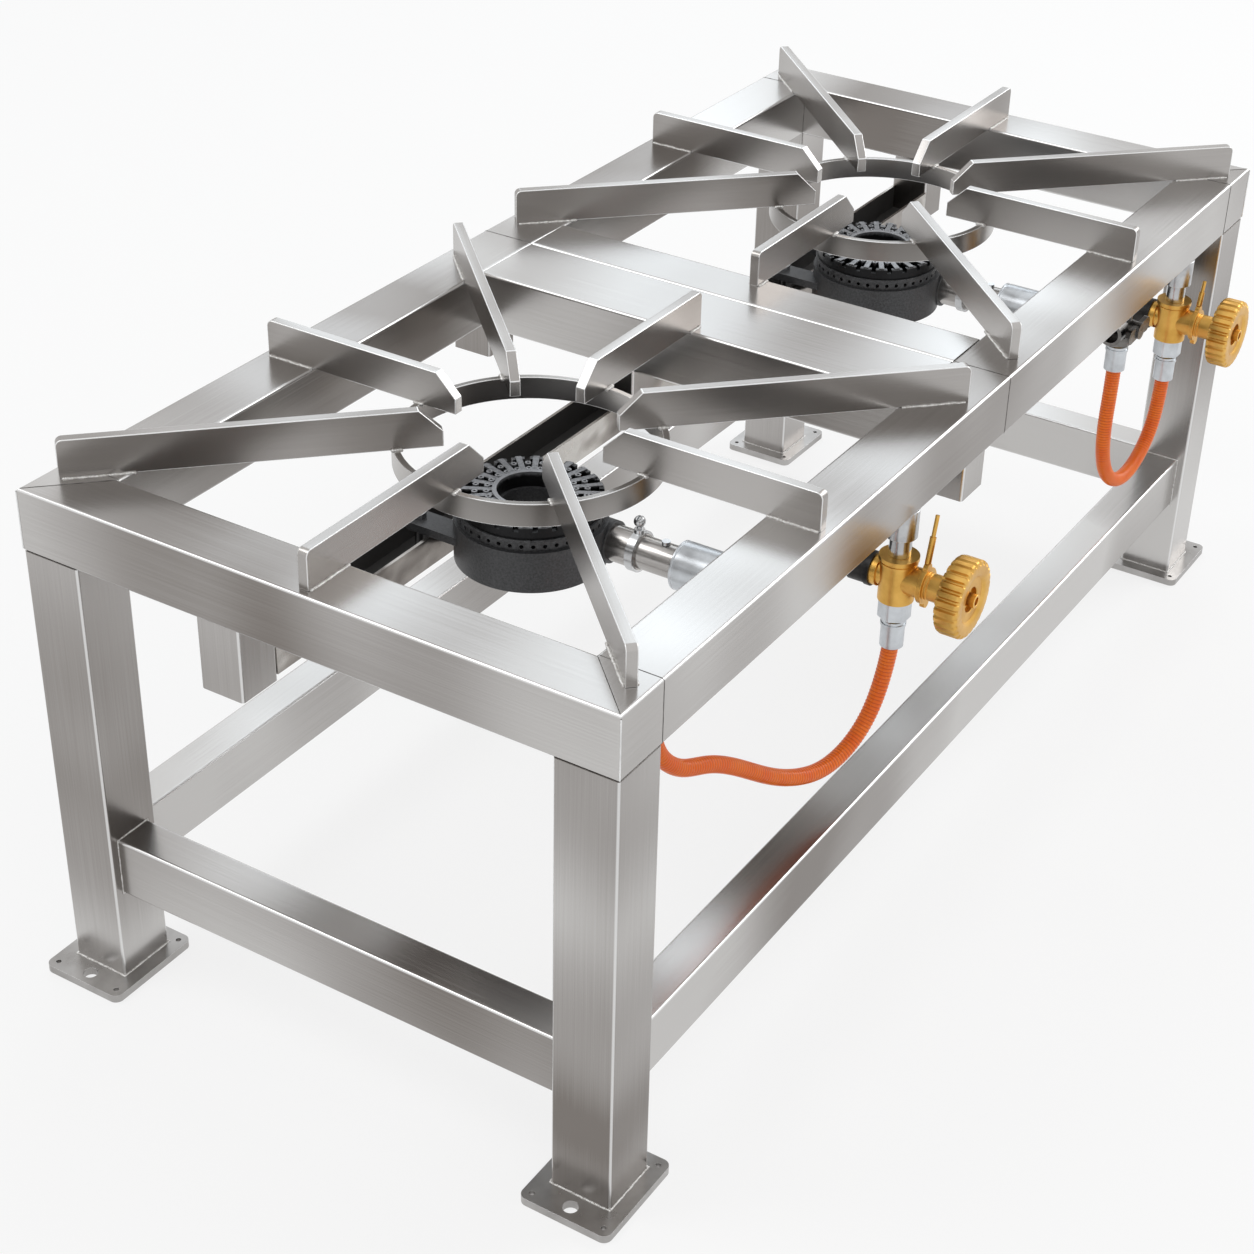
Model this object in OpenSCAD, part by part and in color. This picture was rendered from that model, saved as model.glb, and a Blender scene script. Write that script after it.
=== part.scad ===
// Twin biogas stove: a welded square tube stand with two burners, pan rings and star grates

/* [Stand] */
// Length of the top frame
frame_len = 1320; // [1240:10:1600]
// Width of the top frame
frame_wid = 600; // [560:10:760]
// Height of the top frame above the floor
frame_h = 510; // [480:10:800]
// Side of the square tube
tube_w = 60; // [52:1:70]
// Wall of every square tube
tube_wall = 3; // [2:0.5:4]
// Outer corner radius of the square tube
tube_r = 3; // [2:0.5:5]
// Width of the wide cross beam
wide_beam_w = 90; // [80:1:110]
// Height of the stretcher tube
stretcher_h = 60; // [40:1:70]
// Width of the stretcher tube
stretcher_w = 40; // [30:1:46]
// Height of the stretchers' top above the floor
stretcher_top = 160; // [120:5:200]
// Set-back of the stretchers from the outer faces of the legs
stretcher_inset = 10; // [4:1:14]
// Side of the small square tube of the posts and stubs
post_w = 45; // [40:1:50]
// Length of the short stubs under the middle of the long rails
stub_len = 45; // [30:1:60]

/* [Feet] */
// Length of a foot plate, along the stove
foot_len = 104; // [98:1:120]
// Width of a foot plate
foot_wid = 90; // [84:1:104]
// Thickness of a foot plate
foot_t = 8; // [5:1:12]
// Corner radius of a foot plate
foot_r = 8; // [4:1:12]
// How far a foot plate stands out past the leg, at the end of the stove
foot_out_x = 28; // [26:1:34]
// How far a foot plate stands out past the leg, at the side of the stove
foot_out_y = 15; // [8:1:20]
// Bore for a floor anchor
anchor_d = 14; // [10:0.5:16]
// Distance of the anchor bore from the end face of the leg
anchor_out = 14.5; // [12:0.5:16]
// Small fixing hole in the corners of a foot plate
pilot_d = 5; // [3:0.5:6]
// Distance of a fixing hole from the edges of the plate
pilot_inset = 9; // [8:0.5:11]

/* [Grates] */
// Height of a grate bar
bar_h = 36; // [28:1:50]
// Thickness of a grate bar
bar_t = 10; // [6:0.5:12]
// Circle left open between the tips of the bars
tip_d = 156; // [138:1:170]
// Height left at the tip of a bar
tip_flat = 15; // [8:1:20]
// Radius of the outer top corner of a bar
bar_r = 6; // [3:0.5:10]
// Distance of a straight bar's end from the outer face of the rail
bar_end_gap = 8; // [2:1:20]
// Overlap of the inner straight bar on the cross beam
bar_lap = 20; // [10:1:40]
// Reach of a corner bar over the end rail or the cross beam
corner_lap_x = 24; // [10:1:40]
// Reach of a corner bar over the long rail
corner_lap_y = 46; // [20:1:50]
// Outside diameter of the pan ring
ring_d = 245; // [215:1:260]
// Height of the pan ring
ring_h = 22; // [18:1:40]
// Thickness of the pan ring
ring_t = 6; // [5:0.5:10]

/* [Burner] */
// Drop from the top of the frame to the top of the burner
burner_drop = 52; // [46:1:70]
// Diameter of the cast bowl
bowl_d = 140; // [130:1:142]
// Height of the cast bowl
bowl_h = 40; // [38:0.5:46]
// Wall of the bowl
bowl_wall = 6; // [4:0.5:8]
// Floor of the bowl
bowl_floor = 5; // [4:0.5:8]
// Eye through the middle of the burner
eye_d = 56; // [46:1:58]
// Wall round the eye
eye_wall = 5; // [4:0.5:7]
// Height of the perforated port ring
tier_h = 12; // [10:0.5:16]
// Side ports in the port ring
side_ports = 40; // [24:1:48]
// Diameter of a side port
side_port_d = 4; // [2:0.5:5]
// Height of the burner cap
cap_h = 15; // [12:0.5:20]
// Diameter of the burner cap
cap_d = 132; // [126:1:134]
// Ribs on the burner cap
cap_ribs = 24; // [16:1:28]
// Outside diameter of the neck of the mixing tube
neck_d = 34; // [30:0.5:35]
// Outside diameter of the slim part of the mixing tube
mix_d = 31; // [28:0.5:31]
// Bore of the mixing tube
mix_bore = 25; // [20:0.5:26]
// Sideways offset of the mixing tube from the middle of the burner
mix_off = 30; // [20:1:32]
// Outside diameter of the air shutter
shutter_d = 46; // [42:0.5:50]
// Length of the air shutter
shutter_len = 50; // [44:1:52]
// Travel of the air shutter
shutter_travel = 11; // [6:0.5:11]
// Width of the burner channel
channel_w = 45; // [40:1:50]
// Height of the burner channel
channel_h = 30; // [24:1:36]
// Plate thickness of the burner channel
channel_t = 3; // [2:0.5:4]

/* [Gas] */
// Sideways offset of the valve from the middle of the burner
valve_off = 172.5; // [150:0.5:185]
// Depth of the valve axis under the frame's top face
valve_drop = 132; // [126:1:138]
// Distance of the valve from the front face of the frame
valve_in = 15; // [15:0.5:20]
// Diameter of the valve barrel
barrel_d = 34; // [30:0.5:36]
// Height of the valve barrel
barrel_h = 46; // [42:0.5:50]
// Diameter of the hand wheel
wheel_d = 75; // [66:0.5:84]
// Thickness of the hand wheel
wheel_t = 23; // [18:0.5:28]
// Flutes round the hand wheel
wheel_flutes = 26; // [18:1:30]
// Travel of the valve plug from closed to open
plug_travel = 5; // [3:0.5:5]
// Outside diameter of the gas hose
hose_d = 16; // [14:0.5:17]
// Bore of the gas hose
hose_bore = 12; // [10.5:0.5:12.5]
// Outside diameter of a crimped hose ferrule
ferrule_d = 22.5; // [20:0.5:25]
// Length of a crimped hose ferrule
ferrule_len = 28; // [22:0.5:32]
// Bore of the gas inlet, tapped for a half inch pipe thread
inlet_d = 18.6; // [18:0.1:19]

/* [Hidden] */
$fn = 48;

// One overrun for every cut, and the clearances between pieces
over = 1;
run_fit = 0.05;
seat_gap = 0.3;

// The stand
half_len = frame_len / 2;
half_wid = frame_wid / 2;
rail_mid_z = frame_h - tube_w / 2;
rail_under_z = frame_h - tube_w;
inner_x = half_len - tube_w;
inner_y = half_wid - tube_w;
beam_half = (wide_beam_w + tube_w) / 2;
seam_x = wide_beam_w - beam_half;
wide_beam_x = seam_x - wide_beam_w / 2;
narrow_beam_x = seam_x + tube_w / 2;
leg_x = half_len - tube_w / 2;
leg_y = half_wid - tube_w / 2;
cell_x = (inner_x + beam_half) / 2;
cell_half = (inner_x - beam_half) / 2;
foot_x = half_len + foot_out_x - foot_len / 2;
foot_y = half_wid + foot_out_y - foot_wid / 2;
anchor_x = half_len + anchor_out;
stretcher_x = half_len - stretcher_inset - stretcher_w / 2;
stretcher_y = half_wid - stretcher_inset - stretcher_w / 2;
stretcher_z = stretcher_top - stretcher_h / 2;
end_cap_t = 3;

// The grates
tip_r = tip_d / 2;
corner_x = cell_half + corner_lap_x;
corner_y = inner_y + corner_lap_y;
corner_reach = norm([corner_x, corner_y]);
corner_angle = atan2(corner_y, corner_x);

// The burner, from its top down
cap_z = frame_h - burner_drop - cap_h;
tier_z = cap_z - tier_h;
bowl_z = tier_z - bowl_h;
bowl_r = bowl_d / 2;
chamber_r = bowl_r - bowl_wall;
eye_r = eye_d / 2;
mix_z = bowl_z + bowl_h / 2;
tier_in = 3.5;
tier_r = bowl_r - tier_in;
tier_wall = 6.5;
tier_rim_h = 2.5;
tier_rim_out = 1.5;
boss_wall = 3;
boss_end = bowl_r;
boss_depth = 19;
boss_start = chamber_r - boss_depth;
ear_t = 8;
ear_w = 26;
ear_share = 0.475;
ear_z = bowl_z + bowl_h * ear_share;
ear_x = 42;
bolt_d = 8;
bolt_head_d = 15;
bolt_head_h = 5.3;
bolt_nut_h = 6.5;
channel_gap = 2;
channel_y = bowl_r + channel_gap + channel_w / 2;
channel_z = ear_z - channel_h;
post_foot = 5;
hanger_y = channel_y;

// The cap: a base ring, a rim round the eye, an outer rim, ribs and port stubs
cap_r = cap_d / 2;
cap_lip = 3;
cap_hole_r = eye_r + cap_lip;
cap_base_h = 5;
cap_inner_rim = 4;
cap_outer_rim = 4.5;
cap_outer_drop = 3.5;
cap_rib_w = 5.5;
cap_rib_drop = 2;
cap_stub_d = 5.6;
cap_stub_bore = 2.6;
cap_stub_drop = 1;
cap_stub_in = 9;
cap_stub_out = 19.5;
cap_notch_w = 5;
cap_notch_h = 4.5;
cap_spigot_h = 4;
cap_spigot_t = 5;

// The mixing tube, along the line of its axis from the middle of the burner
mix_start = 56;
neck_len = 101;
mix_len = 180;
mouth_len = 10;
mouth_d = 28;
clamp_at = 92;
clamp_w = 8;
clamp_t = 2.5;
clamp_boss_d = 10;
clamp_boss_h = 3;
screw_d = 5;
screw_ball_d = 11;
screw_neck = 2;
screw_slot_w = 1.4;
screw_slot_h = 3;
stop_at = 124;
stop_d = 4;
stop_head_d = 8;
stop_head_h = 3.4;
shutter_at = 140;
shutter_mouth_d = 38;
shutter_mouth_len = 9;
shutter_groove_w = 2;
shutter_groove_h = 0.8;
jet_elbow_at = 216;
elbow_r = 14;
feed_r = 10;
feed_bore = 7;
elbow_h = 32;
elbow_bore = 8;
elbow_bore_h = 20;
jet_boss_r = 12;
jet_boss_len = 15;
jet_d = 10;
jet_len = 16;
jet_seat = 8;
jet_hole_d = 3;
jet_cone_len = 6;
jet_tip_d = 5;
coupling_r = 15.5;
coupling_len = 22;
coupling_ring_r = 16.5;
coupling_ring_w = 5;

// The valve, measured along its axis from the middle of the barrel towards the hand wheel
valve_y = valve_in - half_wid;
valve_z = frame_h - valve_drop;
barrel_r = barrel_d / 2;
collar_out = 1.8;
collar_h = 4;
port_r = 12.5;
port_len = 23;
port_ring_out = 2;
port_ring_w = 6;
neck_r = 14;
bonnet_seat = 26;
chamber_bore = 10;
chamber_back = 6;
valve_seat_r = 6;
valve_seat_t = 4;
gas_bore = 7;
spigot_len = 8;
flange_r = 17.5;
flange_t = 5;
ear_r = 5;
ear_out = 18;
bonnet_r = 13;
bonnet_end = 50;
groove_at = 34;
spindle_r = 5;
spindle_tip_r = 4;
spindle_tip_end = 4.5;
spindle_collar_r = 7;
spindle_collar_t = 1.5;
plug_r = 8.5;
plug_back = 10;
plug_nose_r = 5;
plug_nose_len = 3;
plug_bore_end = 1;
hub_r = 15;
hub_len = 3;
wheel_back = bonnet_end + seat_gap + hub_len;
wheel_front = wheel_back + wheel_t;
wheel_bevel = 3;
flute_r = 3.1;
flute_out = 1.2;
dish_r = 24;
dish_h = 2.5;
recess_r = 12;
recess_h = 9;
nut_r = 6.5;
nut_out = 3;
nut_recess = 4;
socket_r = 15;
socket_h = 29;
socket_neck_r = 10.5;
socket_stud_r = 8;
socket_stud_h = 8;
pin_r = 2;
pin_sleeve_r = 3;
pin_sleeve_share = 0.55;
pin_tilt = 14;
near_pin_len = 46;
far_pin_len = 28;

// The hose fittings
hose_nut_r = 16.5;
hose_nut_h = 19;
tail_r = 6;
tail_flange_r = 9;
tail_flange_h = 4;
tail_barb_r = 5.1;
tail_bore = 3.5;
tail_barb_len = 16;
tail_neck = 3;
ferrule_top = 1.5;
ferrule_ring_w = 3;
ferrule_ring_out = 0.8;
ferrule_ring_at = 6;
valve_tail_z = valve_z - barrel_h / 2 - hose_nut_h;
valve_hose_z = valve_tail_z - tail_neck - ferrule_len;

// The hand cocks
cock_len = 49;
cock_r = 12;
cock_boss_r = 15;
cock_boss_h = 10;
cock_nut_r = 16;
cock_nut_h = 10;
cock_axis_drop = 30;
cock_port_r = 13;
cock_port_len = 28;
inlet_len = 16;
cock_front = 15;
cock_front_r = 9.5;
cock_back = 16;
cock_back_r = 11;
cock_plug_r = 8;
cock_plug_back = 14;
cock_plug_front = 9;
cock_bore = 5;
cock_stem_r = 5;
wing_hub_r = 9;
wing_hub_t = 9;
wing_reach = 21;
wing_r = 8;
wing_t = 5;
wing_root = 7;
near_cock_off = 137.5;
near_cock_in = 85;
far_cock_off = 32.5;
far_cock_in = 25;
near_cock_x = -cell_x - near_cock_off;
near_cock_y = near_cock_in - half_wid;
far_cock_x = cell_x + far_cock_off;
far_cock_y = far_cock_in - half_wid;
bracket_t = 5;
bracket_w = 44;
bracket_back = 16;
bracket_y = near_cock_y + bracket_back;
bracket_r = 6;
near_cock_top = rail_under_z - bracket_t;
far_cock_top = rail_under_z;
cock_hose_drop = cock_len + tail_neck + ferrule_len;

// The hose routes, from the valve to the cock: x, y, z of the middle of the hose
near_route = [[-165, -285, 331], [-165, -285, 305], [-170, -282, 268], [-183, -278, 232],
    [-211, -272, 208], [-247, -265, 201], [-282, -258, 211], [-314, -250, 227],
    [-343, -242, 248], [-371, -235, 269], [-402, -228, 287], [-437, -223, 297],
    [-464, -217, 323], [-475, -215, 353], [-475, -215, 391]];
far_route = [[510, -285, 331], [510, -285, 305], [510, -284, 275], [501, -284, 246],
    [480, -283, 224], [453, -282, 211], [422, -281, 211], [394, -280, 224],
    [374, -278, 246], [364, -277, 275], [363, -276, 306], [366, -276, 336],
    [370, -275, 366], [370, -275, 396]];
hose_sides = 8;
rib_pitch = 5;
rib_depth = 0.7;
bore_step = 4;

// A rounded rectangle, and the section of a tube made from it
module rounded(w, h, r) {
    square([w - 2 * r, h], center = true);
    square([w, h - 2 * r], center = true);
    for (sx = [-1, 1], sy = [-1, 1])
        translate([sx * (w / 2 - r), sy * (h / 2 - r)]) circle(r);
}

module tube_section(w, h) {
    difference() {
        rounded(w, h, tube_r);
        square([w - 2 * tube_wall, h - 2 * tube_wall], center = true);
    }
}

// Tubes along X, along Y and upright
module tube_x(x0, x1, y, z, w, h)
    translate([x0, y, z]) rotate([90, 0, 90]) linear_extrude(x1 - x0) tube_section(w, h);

module tube_y(y0, y1, x, z, w, h)
    translate([x, y1, z]) rotate([90, 0, 0]) linear_extrude(y1 - y0) tube_section(w, h);

module tube_z(z0, z1, x, y, w)
    translate([x, y, z0]) linear_extrude(z1 - z0) tube_section(w, w);

// A round bar along Y, its start and end given as places on Y
module rod_y(x, z, y0, y1, r)
    translate([x, y0, z]) rotate([-90, 0, 0]) cylinder(h = y1 - y0, r = r);

// Both mirror images along X, or all four corners
module both_ends() {
    children();
    mirror([1, 0, 0]) children();
}

module four_corners() {
    both_ends() {
        children();
        mirror([0, 1, 0]) children();
    }
}

// The half of a corner block on the long rail's side of the mitre
module mitre_wedge() {
    translate([-half_len, -half_wid, rail_under_z - over])
        linear_extrude(tube_w + 2 * over)
            polygon([[-over, -over], [tube_w + over, -over], [tube_w + over, tube_w + over]]);
}

module near_end_tube() {
    difference() {
        tube_y(-half_wid, half_wid, -leg_x, rail_mid_z, tube_w, tube_w);
        mitre_wedge();
        mirror([0, 1, 0]) mitre_wedge();
    }
}

module near_end_rail() color("silver") near_end_tube();

module far_end_rail() color("silver") mirror([1, 0, 0]) near_end_tube();

module corner_returns() {
    color("silver") four_corners()
        intersection() {
            tube_x(-half_len, -inner_x, -leg_y, rail_mid_z, tube_w, tube_w);
            mitre_wedge();
        }
}

module front_rail_near()
    color("silver") tube_x(-inner_x, seam_x, -leg_y, rail_mid_z, tube_w, tube_w);

module front_rail_far()
    color("silver") tube_x(seam_x, inner_x, -leg_y, rail_mid_z, tube_w, tube_w);

module back_rail_near()
    color("silver") tube_x(-inner_x, seam_x, leg_y, rail_mid_z, tube_w, tube_w);

module back_rail_far()
    color("silver") tube_x(seam_x, inner_x, leg_y, rail_mid_z, tube_w, tube_w);

module wide_cross_beam()
    color("silver") tube_y(-inner_y, inner_y, wide_beam_x, rail_mid_z, wide_beam_w, tube_w);

module narrow_cross_beam()
    color("silver") tube_y(-inner_y, inner_y, narrow_beam_x, rail_mid_z, tube_w, tube_w);

module front_legs()
    color("silver") both_ends() tube_z(foot_t, rail_under_z, leg_x, -leg_y, tube_w);

module back_legs()
    color("silver") both_ends() tube_z(foot_t, rail_under_z, leg_x, leg_y, tube_w);

module foot_plates() {
    color("silver") four_corners()
        difference() {
            translate([foot_x, foot_y, 0]) linear_extrude(foot_t) rounded(foot_len, foot_wid, foot_r);
            translate([anchor_x, leg_y, -over]) cylinder(h = foot_t + 2 * over, d = anchor_d);
            for (sx = [-1, 1], sy = [-1, 1])
                translate([foot_x + sx * (foot_len / 2 - pilot_inset),
                           foot_y + sy * (foot_wid / 2 - pilot_inset), -over])
                    cylinder(h = foot_t + 2 * over, d = pilot_d);
        }
}

module end_stretchers()
    color("silver") both_ends()
        tube_y(-inner_y, inner_y, stretcher_x, stretcher_z, stretcher_w, stretcher_h);

module front_stretcher()
    color("silver") tube_x(-inner_x, inner_x, -stretcher_y, stretcher_z, stretcher_w, stretcher_h);

module back_stretcher()
    color("silver") tube_x(-inner_x, inner_x, stretcher_y, stretcher_z, stretcher_w, stretcher_h);

// The open channel that carries both burners, hung from posts under the rails
module burner_channel() {
    end_x = leg_x - post_w / 2;
    color("silver") difference() {
        translate([-end_x, channel_y, channel_z]) rotate([90, 0, 90])
            linear_extrude(2 * end_x) difference() {
                translate([-channel_w / 2, 0]) square([channel_w, channel_h]);
                translate([channel_t - channel_w / 2, channel_t])
                    square([channel_w - 2 * channel_t, channel_h]);
            }
        for (sx = [-1, 1], ex = [-ear_x, ear_x])
            translate([sx * cell_x + ex, channel_y, channel_z - over])
                cylinder(h = channel_t + 2 * over, d = bolt_d + 2 * seat_gap);
    }
}

// A short upright tube with its lower end capped
module capped_stub(x, y, z0, z1) {
    tube_z(z0, z1, x, y, post_w);
    translate([x, y, z0]) linear_extrude(end_cap_t) rounded(post_w, post_w, tube_r);
}

module channel_posts() {
    color("silver") {
        both_ends() capped_stub(leg_x, channel_y, channel_z - post_foot, rail_under_z);
        tube_z(channel_z + channel_h, rail_under_z, wide_beam_x, hanger_y, post_w);
    }
}

module centre_stubs()
    color("silver") for (sy = [-1, 1])
        capped_stub(wide_beam_x, sy * leg_y, rail_under_z - stub_len, rail_under_z);

module pan_ring(sx)
    color("silver") translate([sx * cell_x, 0, frame_h - ring_h]) difference() {
        cylinder(h = ring_h, d = ring_d);
        translate([0, 0, -over]) cylinder(h = ring_h + 2 * over, d = ring_d - 2 * ring_t);
    }

module near_pan_ring() pan_ring(-1);

module far_pan_ring() pan_ring(1);

// A grate bar on edge: sloped down at the tip, rounded at the outer end
module grate_bar(angle, reach) {
    len = reach - tip_r;
    drop = bar_h - tip_flat;
    rotate([0, 0, angle]) translate([tip_r, bar_t / 2, frame_h]) rotate([90, 0, 0])
        linear_extrude(bar_t) {
            polygon([[0, 0], [len, 0], [len, bar_h - bar_r], [len - bar_r, bar_h - bar_r],
                     [len - bar_r, bar_h], [drop, bar_h], [0, tip_flat]]);
            translate([len - bar_r, bar_h - bar_r]) circle(bar_r);
        }
}

module grate_bars(sx) {
    out_reach = half_len - bar_end_gap - cell_x;
    side_reach = half_wid - bar_end_gap;
    in_reach = cell_half + bar_lap;
    color("silver") translate([sx * cell_x, 0, 0]) {
        grate_bar(sx > 0 ? 0 : 180, out_reach);
        grate_bar(sx > 0 ? 180 : 0, in_reach);
        for (a = [90, 270]) grate_bar(a, side_reach);
        for (a = [corner_angle, 180 - corner_angle, 180 + corner_angle, -corner_angle])
            grate_bar(a, corner_reach);
    }
}

module near_grate_bars() grate_bars(-1);

module far_grate_bars() grate_bars(1);

// The cast bowl: a ring-shaped chamber round the open eye, with two ears and a boss for the tube
module burner_bowl(sx) {
    color("dimgray") translate([sx * cell_x, 0, 0]) difference() {
        union() {
            translate([0, 0, bowl_z]) cylinder(h = bowl_h, r = bowl_r);
            for (ex = [-ear_x, ear_x]) translate([ex, 0, ear_z]) linear_extrude(ear_t) {
                translate([-ear_w / 2, bowl_r - ear_w]) square([ear_w, channel_y - bowl_r + ear_w]);
                translate([0, channel_y]) circle(d = ear_w);
            }
            rod_y(mix_off, mix_z, -boss_end, -boss_start, neck_d / 2 + boss_wall);
        }
        translate([0, 0, bowl_z + bowl_floor]) difference() {
            cylinder(h = bowl_h + over, r = chamber_r);
            translate([0, 0, -over]) cylinder(h = bowl_h + 3 * over, r = eye_r + eye_wall);
        }
        translate([0, 0, bowl_z - over]) cylinder(h = bowl_h + 2 * over, r = eye_r);
        rod_y(mix_off, mix_z, -boss_end - over, -boss_start, neck_d / 2 + run_fit);
        for (ex = [-ear_x, ear_x]) translate([ex, channel_y, ear_z - over])
            cylinder(h = ear_t + 2 * over, d = bolt_d + 2 * seat_gap);
    }
    color("dimgray") translate([sx * cell_x, 0, bowl_z + bowl_floor - over]) difference() {
        cylinder(h = bowl_h + tier_h - bowl_floor + over, r = eye_r + eye_wall);
        translate([0, 0, -over]) cylinder(h = bowl_h + tier_h + 2 * over, r = eye_r);
    }
}

module near_burner_bowl() burner_bowl(-1);

module far_burner_bowl() burner_bowl(1);

// The port ring on the rim of the bowl, drilled all round
module port_ring(sx) {
    color("dimgray") translate([sx * cell_x, 0, tier_z]) difference() {
        union() {
            cylinder(h = tier_h, r = tier_r);
            translate([0, 0, tier_h - tier_rim_h]) cylinder(h = tier_rim_h, r = tier_r + tier_rim_out);
        }
        translate([0, 0, -over]) cylinder(h = tier_h + 2 * over, r = tier_r - tier_wall);
        for (i = [0 : side_ports - 1]) rotate([0, 0, i * 360 / side_ports])
            translate([tier_r - tier_wall - over, 0, (tier_h - tier_rim_h) / 2]) rotate([0, 90, 0])
                cylinder(h = tier_wall + 2 * over, d = side_port_d);
    }
}

module near_port_ring() port_ring(-1);

module far_port_ring() port_ring(1);

// The lift-off burner cap, with ribs, notches and drilled port stubs between the ribs
module burner_cap(sx) {
    step = 360 / cap_ribs;
    rim_top = cap_h - cap_outer_drop;
    color("dimgray") translate([sx * cell_x, 0, cap_z]) difference() {
        union() {
            difference() {
                cylinder(h = rim_top, r = cap_r);
                translate([0, 0, cap_base_h]) cylinder(h = cap_h, r = cap_r - cap_outer_rim);
            }
            cylinder(h = cap_h, r = cap_hole_r + cap_inner_rim);
            for (i = [0 : cap_ribs - 1]) rotate([0, 0, i * step]) {
                translate([cap_hole_r + over, -cap_rib_w / 2, 0])
                    cube([cap_r - cap_hole_r - 2 * over, cap_rib_w, cap_h - cap_rib_drop]);
                rotate([0, 0, step / 2]) for (at = [cap_stub_in, cap_stub_out])
                    translate([cap_hole_r + at, 0, 0])
                        cylinder(h = cap_h - cap_stub_drop, d = cap_stub_d);
            }
            translate([0, 0, -cap_spigot_h])
                cylinder(h = cap_spigot_h + over, r = tier_r - tier_wall - seat_gap);
        }
        translate([0, 0, -over]) cylinder(h = cap_h + 2 * over, r = cap_hole_r);
        translate([0, 0, -cap_spigot_h - over])
            cylinder(h = cap_spigot_h + over, r = tier_r - tier_wall - seat_gap - cap_spigot_t);
        for (i = [0 : cap_ribs - 1]) rotate([0, 0, (i + 1 / 2) * step]) {
            translate([cap_r - cap_outer_rim - over, -cap_notch_w / 2, rim_top - cap_notch_h])
                cube([cap_outer_rim + 2 * over, cap_notch_w, cap_notch_h + over]);
            for (at = [cap_stub_in, cap_stub_out])
                translate([cap_hole_r + at, 0, -over])
                    cylinder(h = cap_h + 2 * over, d = cap_stub_bore);
        }
    }
}

module near_burner_cap() burner_cap(-1);

module far_burner_cap() burner_cap(1);

// The mixing tube: a neck in the bowl's boss, a slim tube and a flared mouth
module mixing_tube(sx) {
    x = sx * cell_x + mix_off;
    color("silver") difference() {
        union() {
            rod_y(x, mix_z, -neck_len, -mix_start, neck_d / 2);
            rod_y(x, mix_z, -mix_len, -mix_start, mix_d / 2);
        }
        rod_y(x, mix_z, -mix_len - over, -mix_start + over, mix_bore / 2);
        translate([x, -mix_len + mouth_len, mix_z]) rotate([90, 0, 0])
            cylinder(h = mouth_len, d1 = mix_bore, d2 = mouth_d);
        translate([x, -stop_at, mix_z]) cylinder(h = mix_d, d = stop_d + 2 * run_fit);
    }
}

module near_mixing_tube() mixing_tube(-1);

module far_mixing_tube() mixing_tube(1);

// The air shutter slides on the mixing tube
module air_shutter(sx) {
    x = sx * cell_x + mix_off;
    front = shutter_at + shutter_len;
    color("lightsteelblue") difference() {
        rod_y(x, mix_z, -front, -shutter_at, shutter_d / 2);
        rod_y(x, mix_z, -front - over, -shutter_at + over, mix_d / 2 + run_fit);
        rod_y(x, mix_z, -front - over, -front + shutter_mouth_len, shutter_mouth_d / 2);
        difference() {
            rod_y(x, mix_z, -shutter_at - 2 * shutter_groove_w, -shutter_at - shutter_groove_w,
                  shutter_d / 2 + over);
            rod_y(x, mix_z, -front, -shutter_at, shutter_d / 2 - shutter_groove_h);
        }
    }
}

module near_air_shutter() air_shutter(-1);

module far_air_shutter() air_shutter(1);

module tube_clamps() {
    color("gainsboro") for (sx = [-1, 1]) {
        x = sx * cell_x + mix_off;
        top = neck_d / 2 + clamp_t;
        difference() {
            union() {
                rod_y(x, mix_z, -clamp_at - clamp_w, -clamp_at, top);
                translate([x, -clamp_at - clamp_w / 2, mix_z + top - over])
                    cylinder(h = clamp_boss_h + over, d = clamp_boss_d);
            }
            rod_y(x, mix_z, -clamp_at - clamp_w - over, -clamp_at + over, neck_d / 2 + run_fit);
            translate([x, -clamp_at - clamp_w / 2, mix_z])
                cylinder(h = neck_d, d = screw_d + 2 * run_fit);
        }
    }
}

// A ball-headed slotted screw in each clamp, and a stop screw for the shutter in each tube
module tube_screws() {
    color("gainsboro") for (sx = [-1, 1]) {
        x = sx * cell_x + mix_off;
        foot = neck_d / 2 + run_fit;
        boss_top = neck_d / 2 + clamp_t + clamp_boss_h;
        ball = boss_top + screw_neck + screw_ball_d / 2;
        translate([x, -clamp_at - clamp_w / 2, mix_z]) difference() {
            union() {
                translate([0, 0, foot]) cylinder(h = ball - foot, d = screw_d);
                translate([0, 0, ball]) sphere(d = screw_ball_d);
            }
            translate([-screw_ball_d, -screw_slot_w / 2, ball + screw_ball_d / 2 - screw_slot_h])
                cube([2 * screw_ball_d, screw_slot_w, screw_slot_h + over]);
        }
        translate([x, -stop_at, mix_z]) {
            translate([0, 0, mix_bore / 2 + run_fit])
                cylinder(h = (mix_d - mix_bore) / 2 + seat_gap, d = stop_d);
            translate([0, 0, mix_d / 2 + seat_gap]) cylinder(h = stop_head_h, d = stop_head_d);
        }
    }
}

// The drum of a cast pipe elbow, or the hollow in it
module elbow_drum(x, z, r, h)
    translate([x, -jet_elbow_at, z - h / 2]) cylinder(h = h, r = r);

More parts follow.
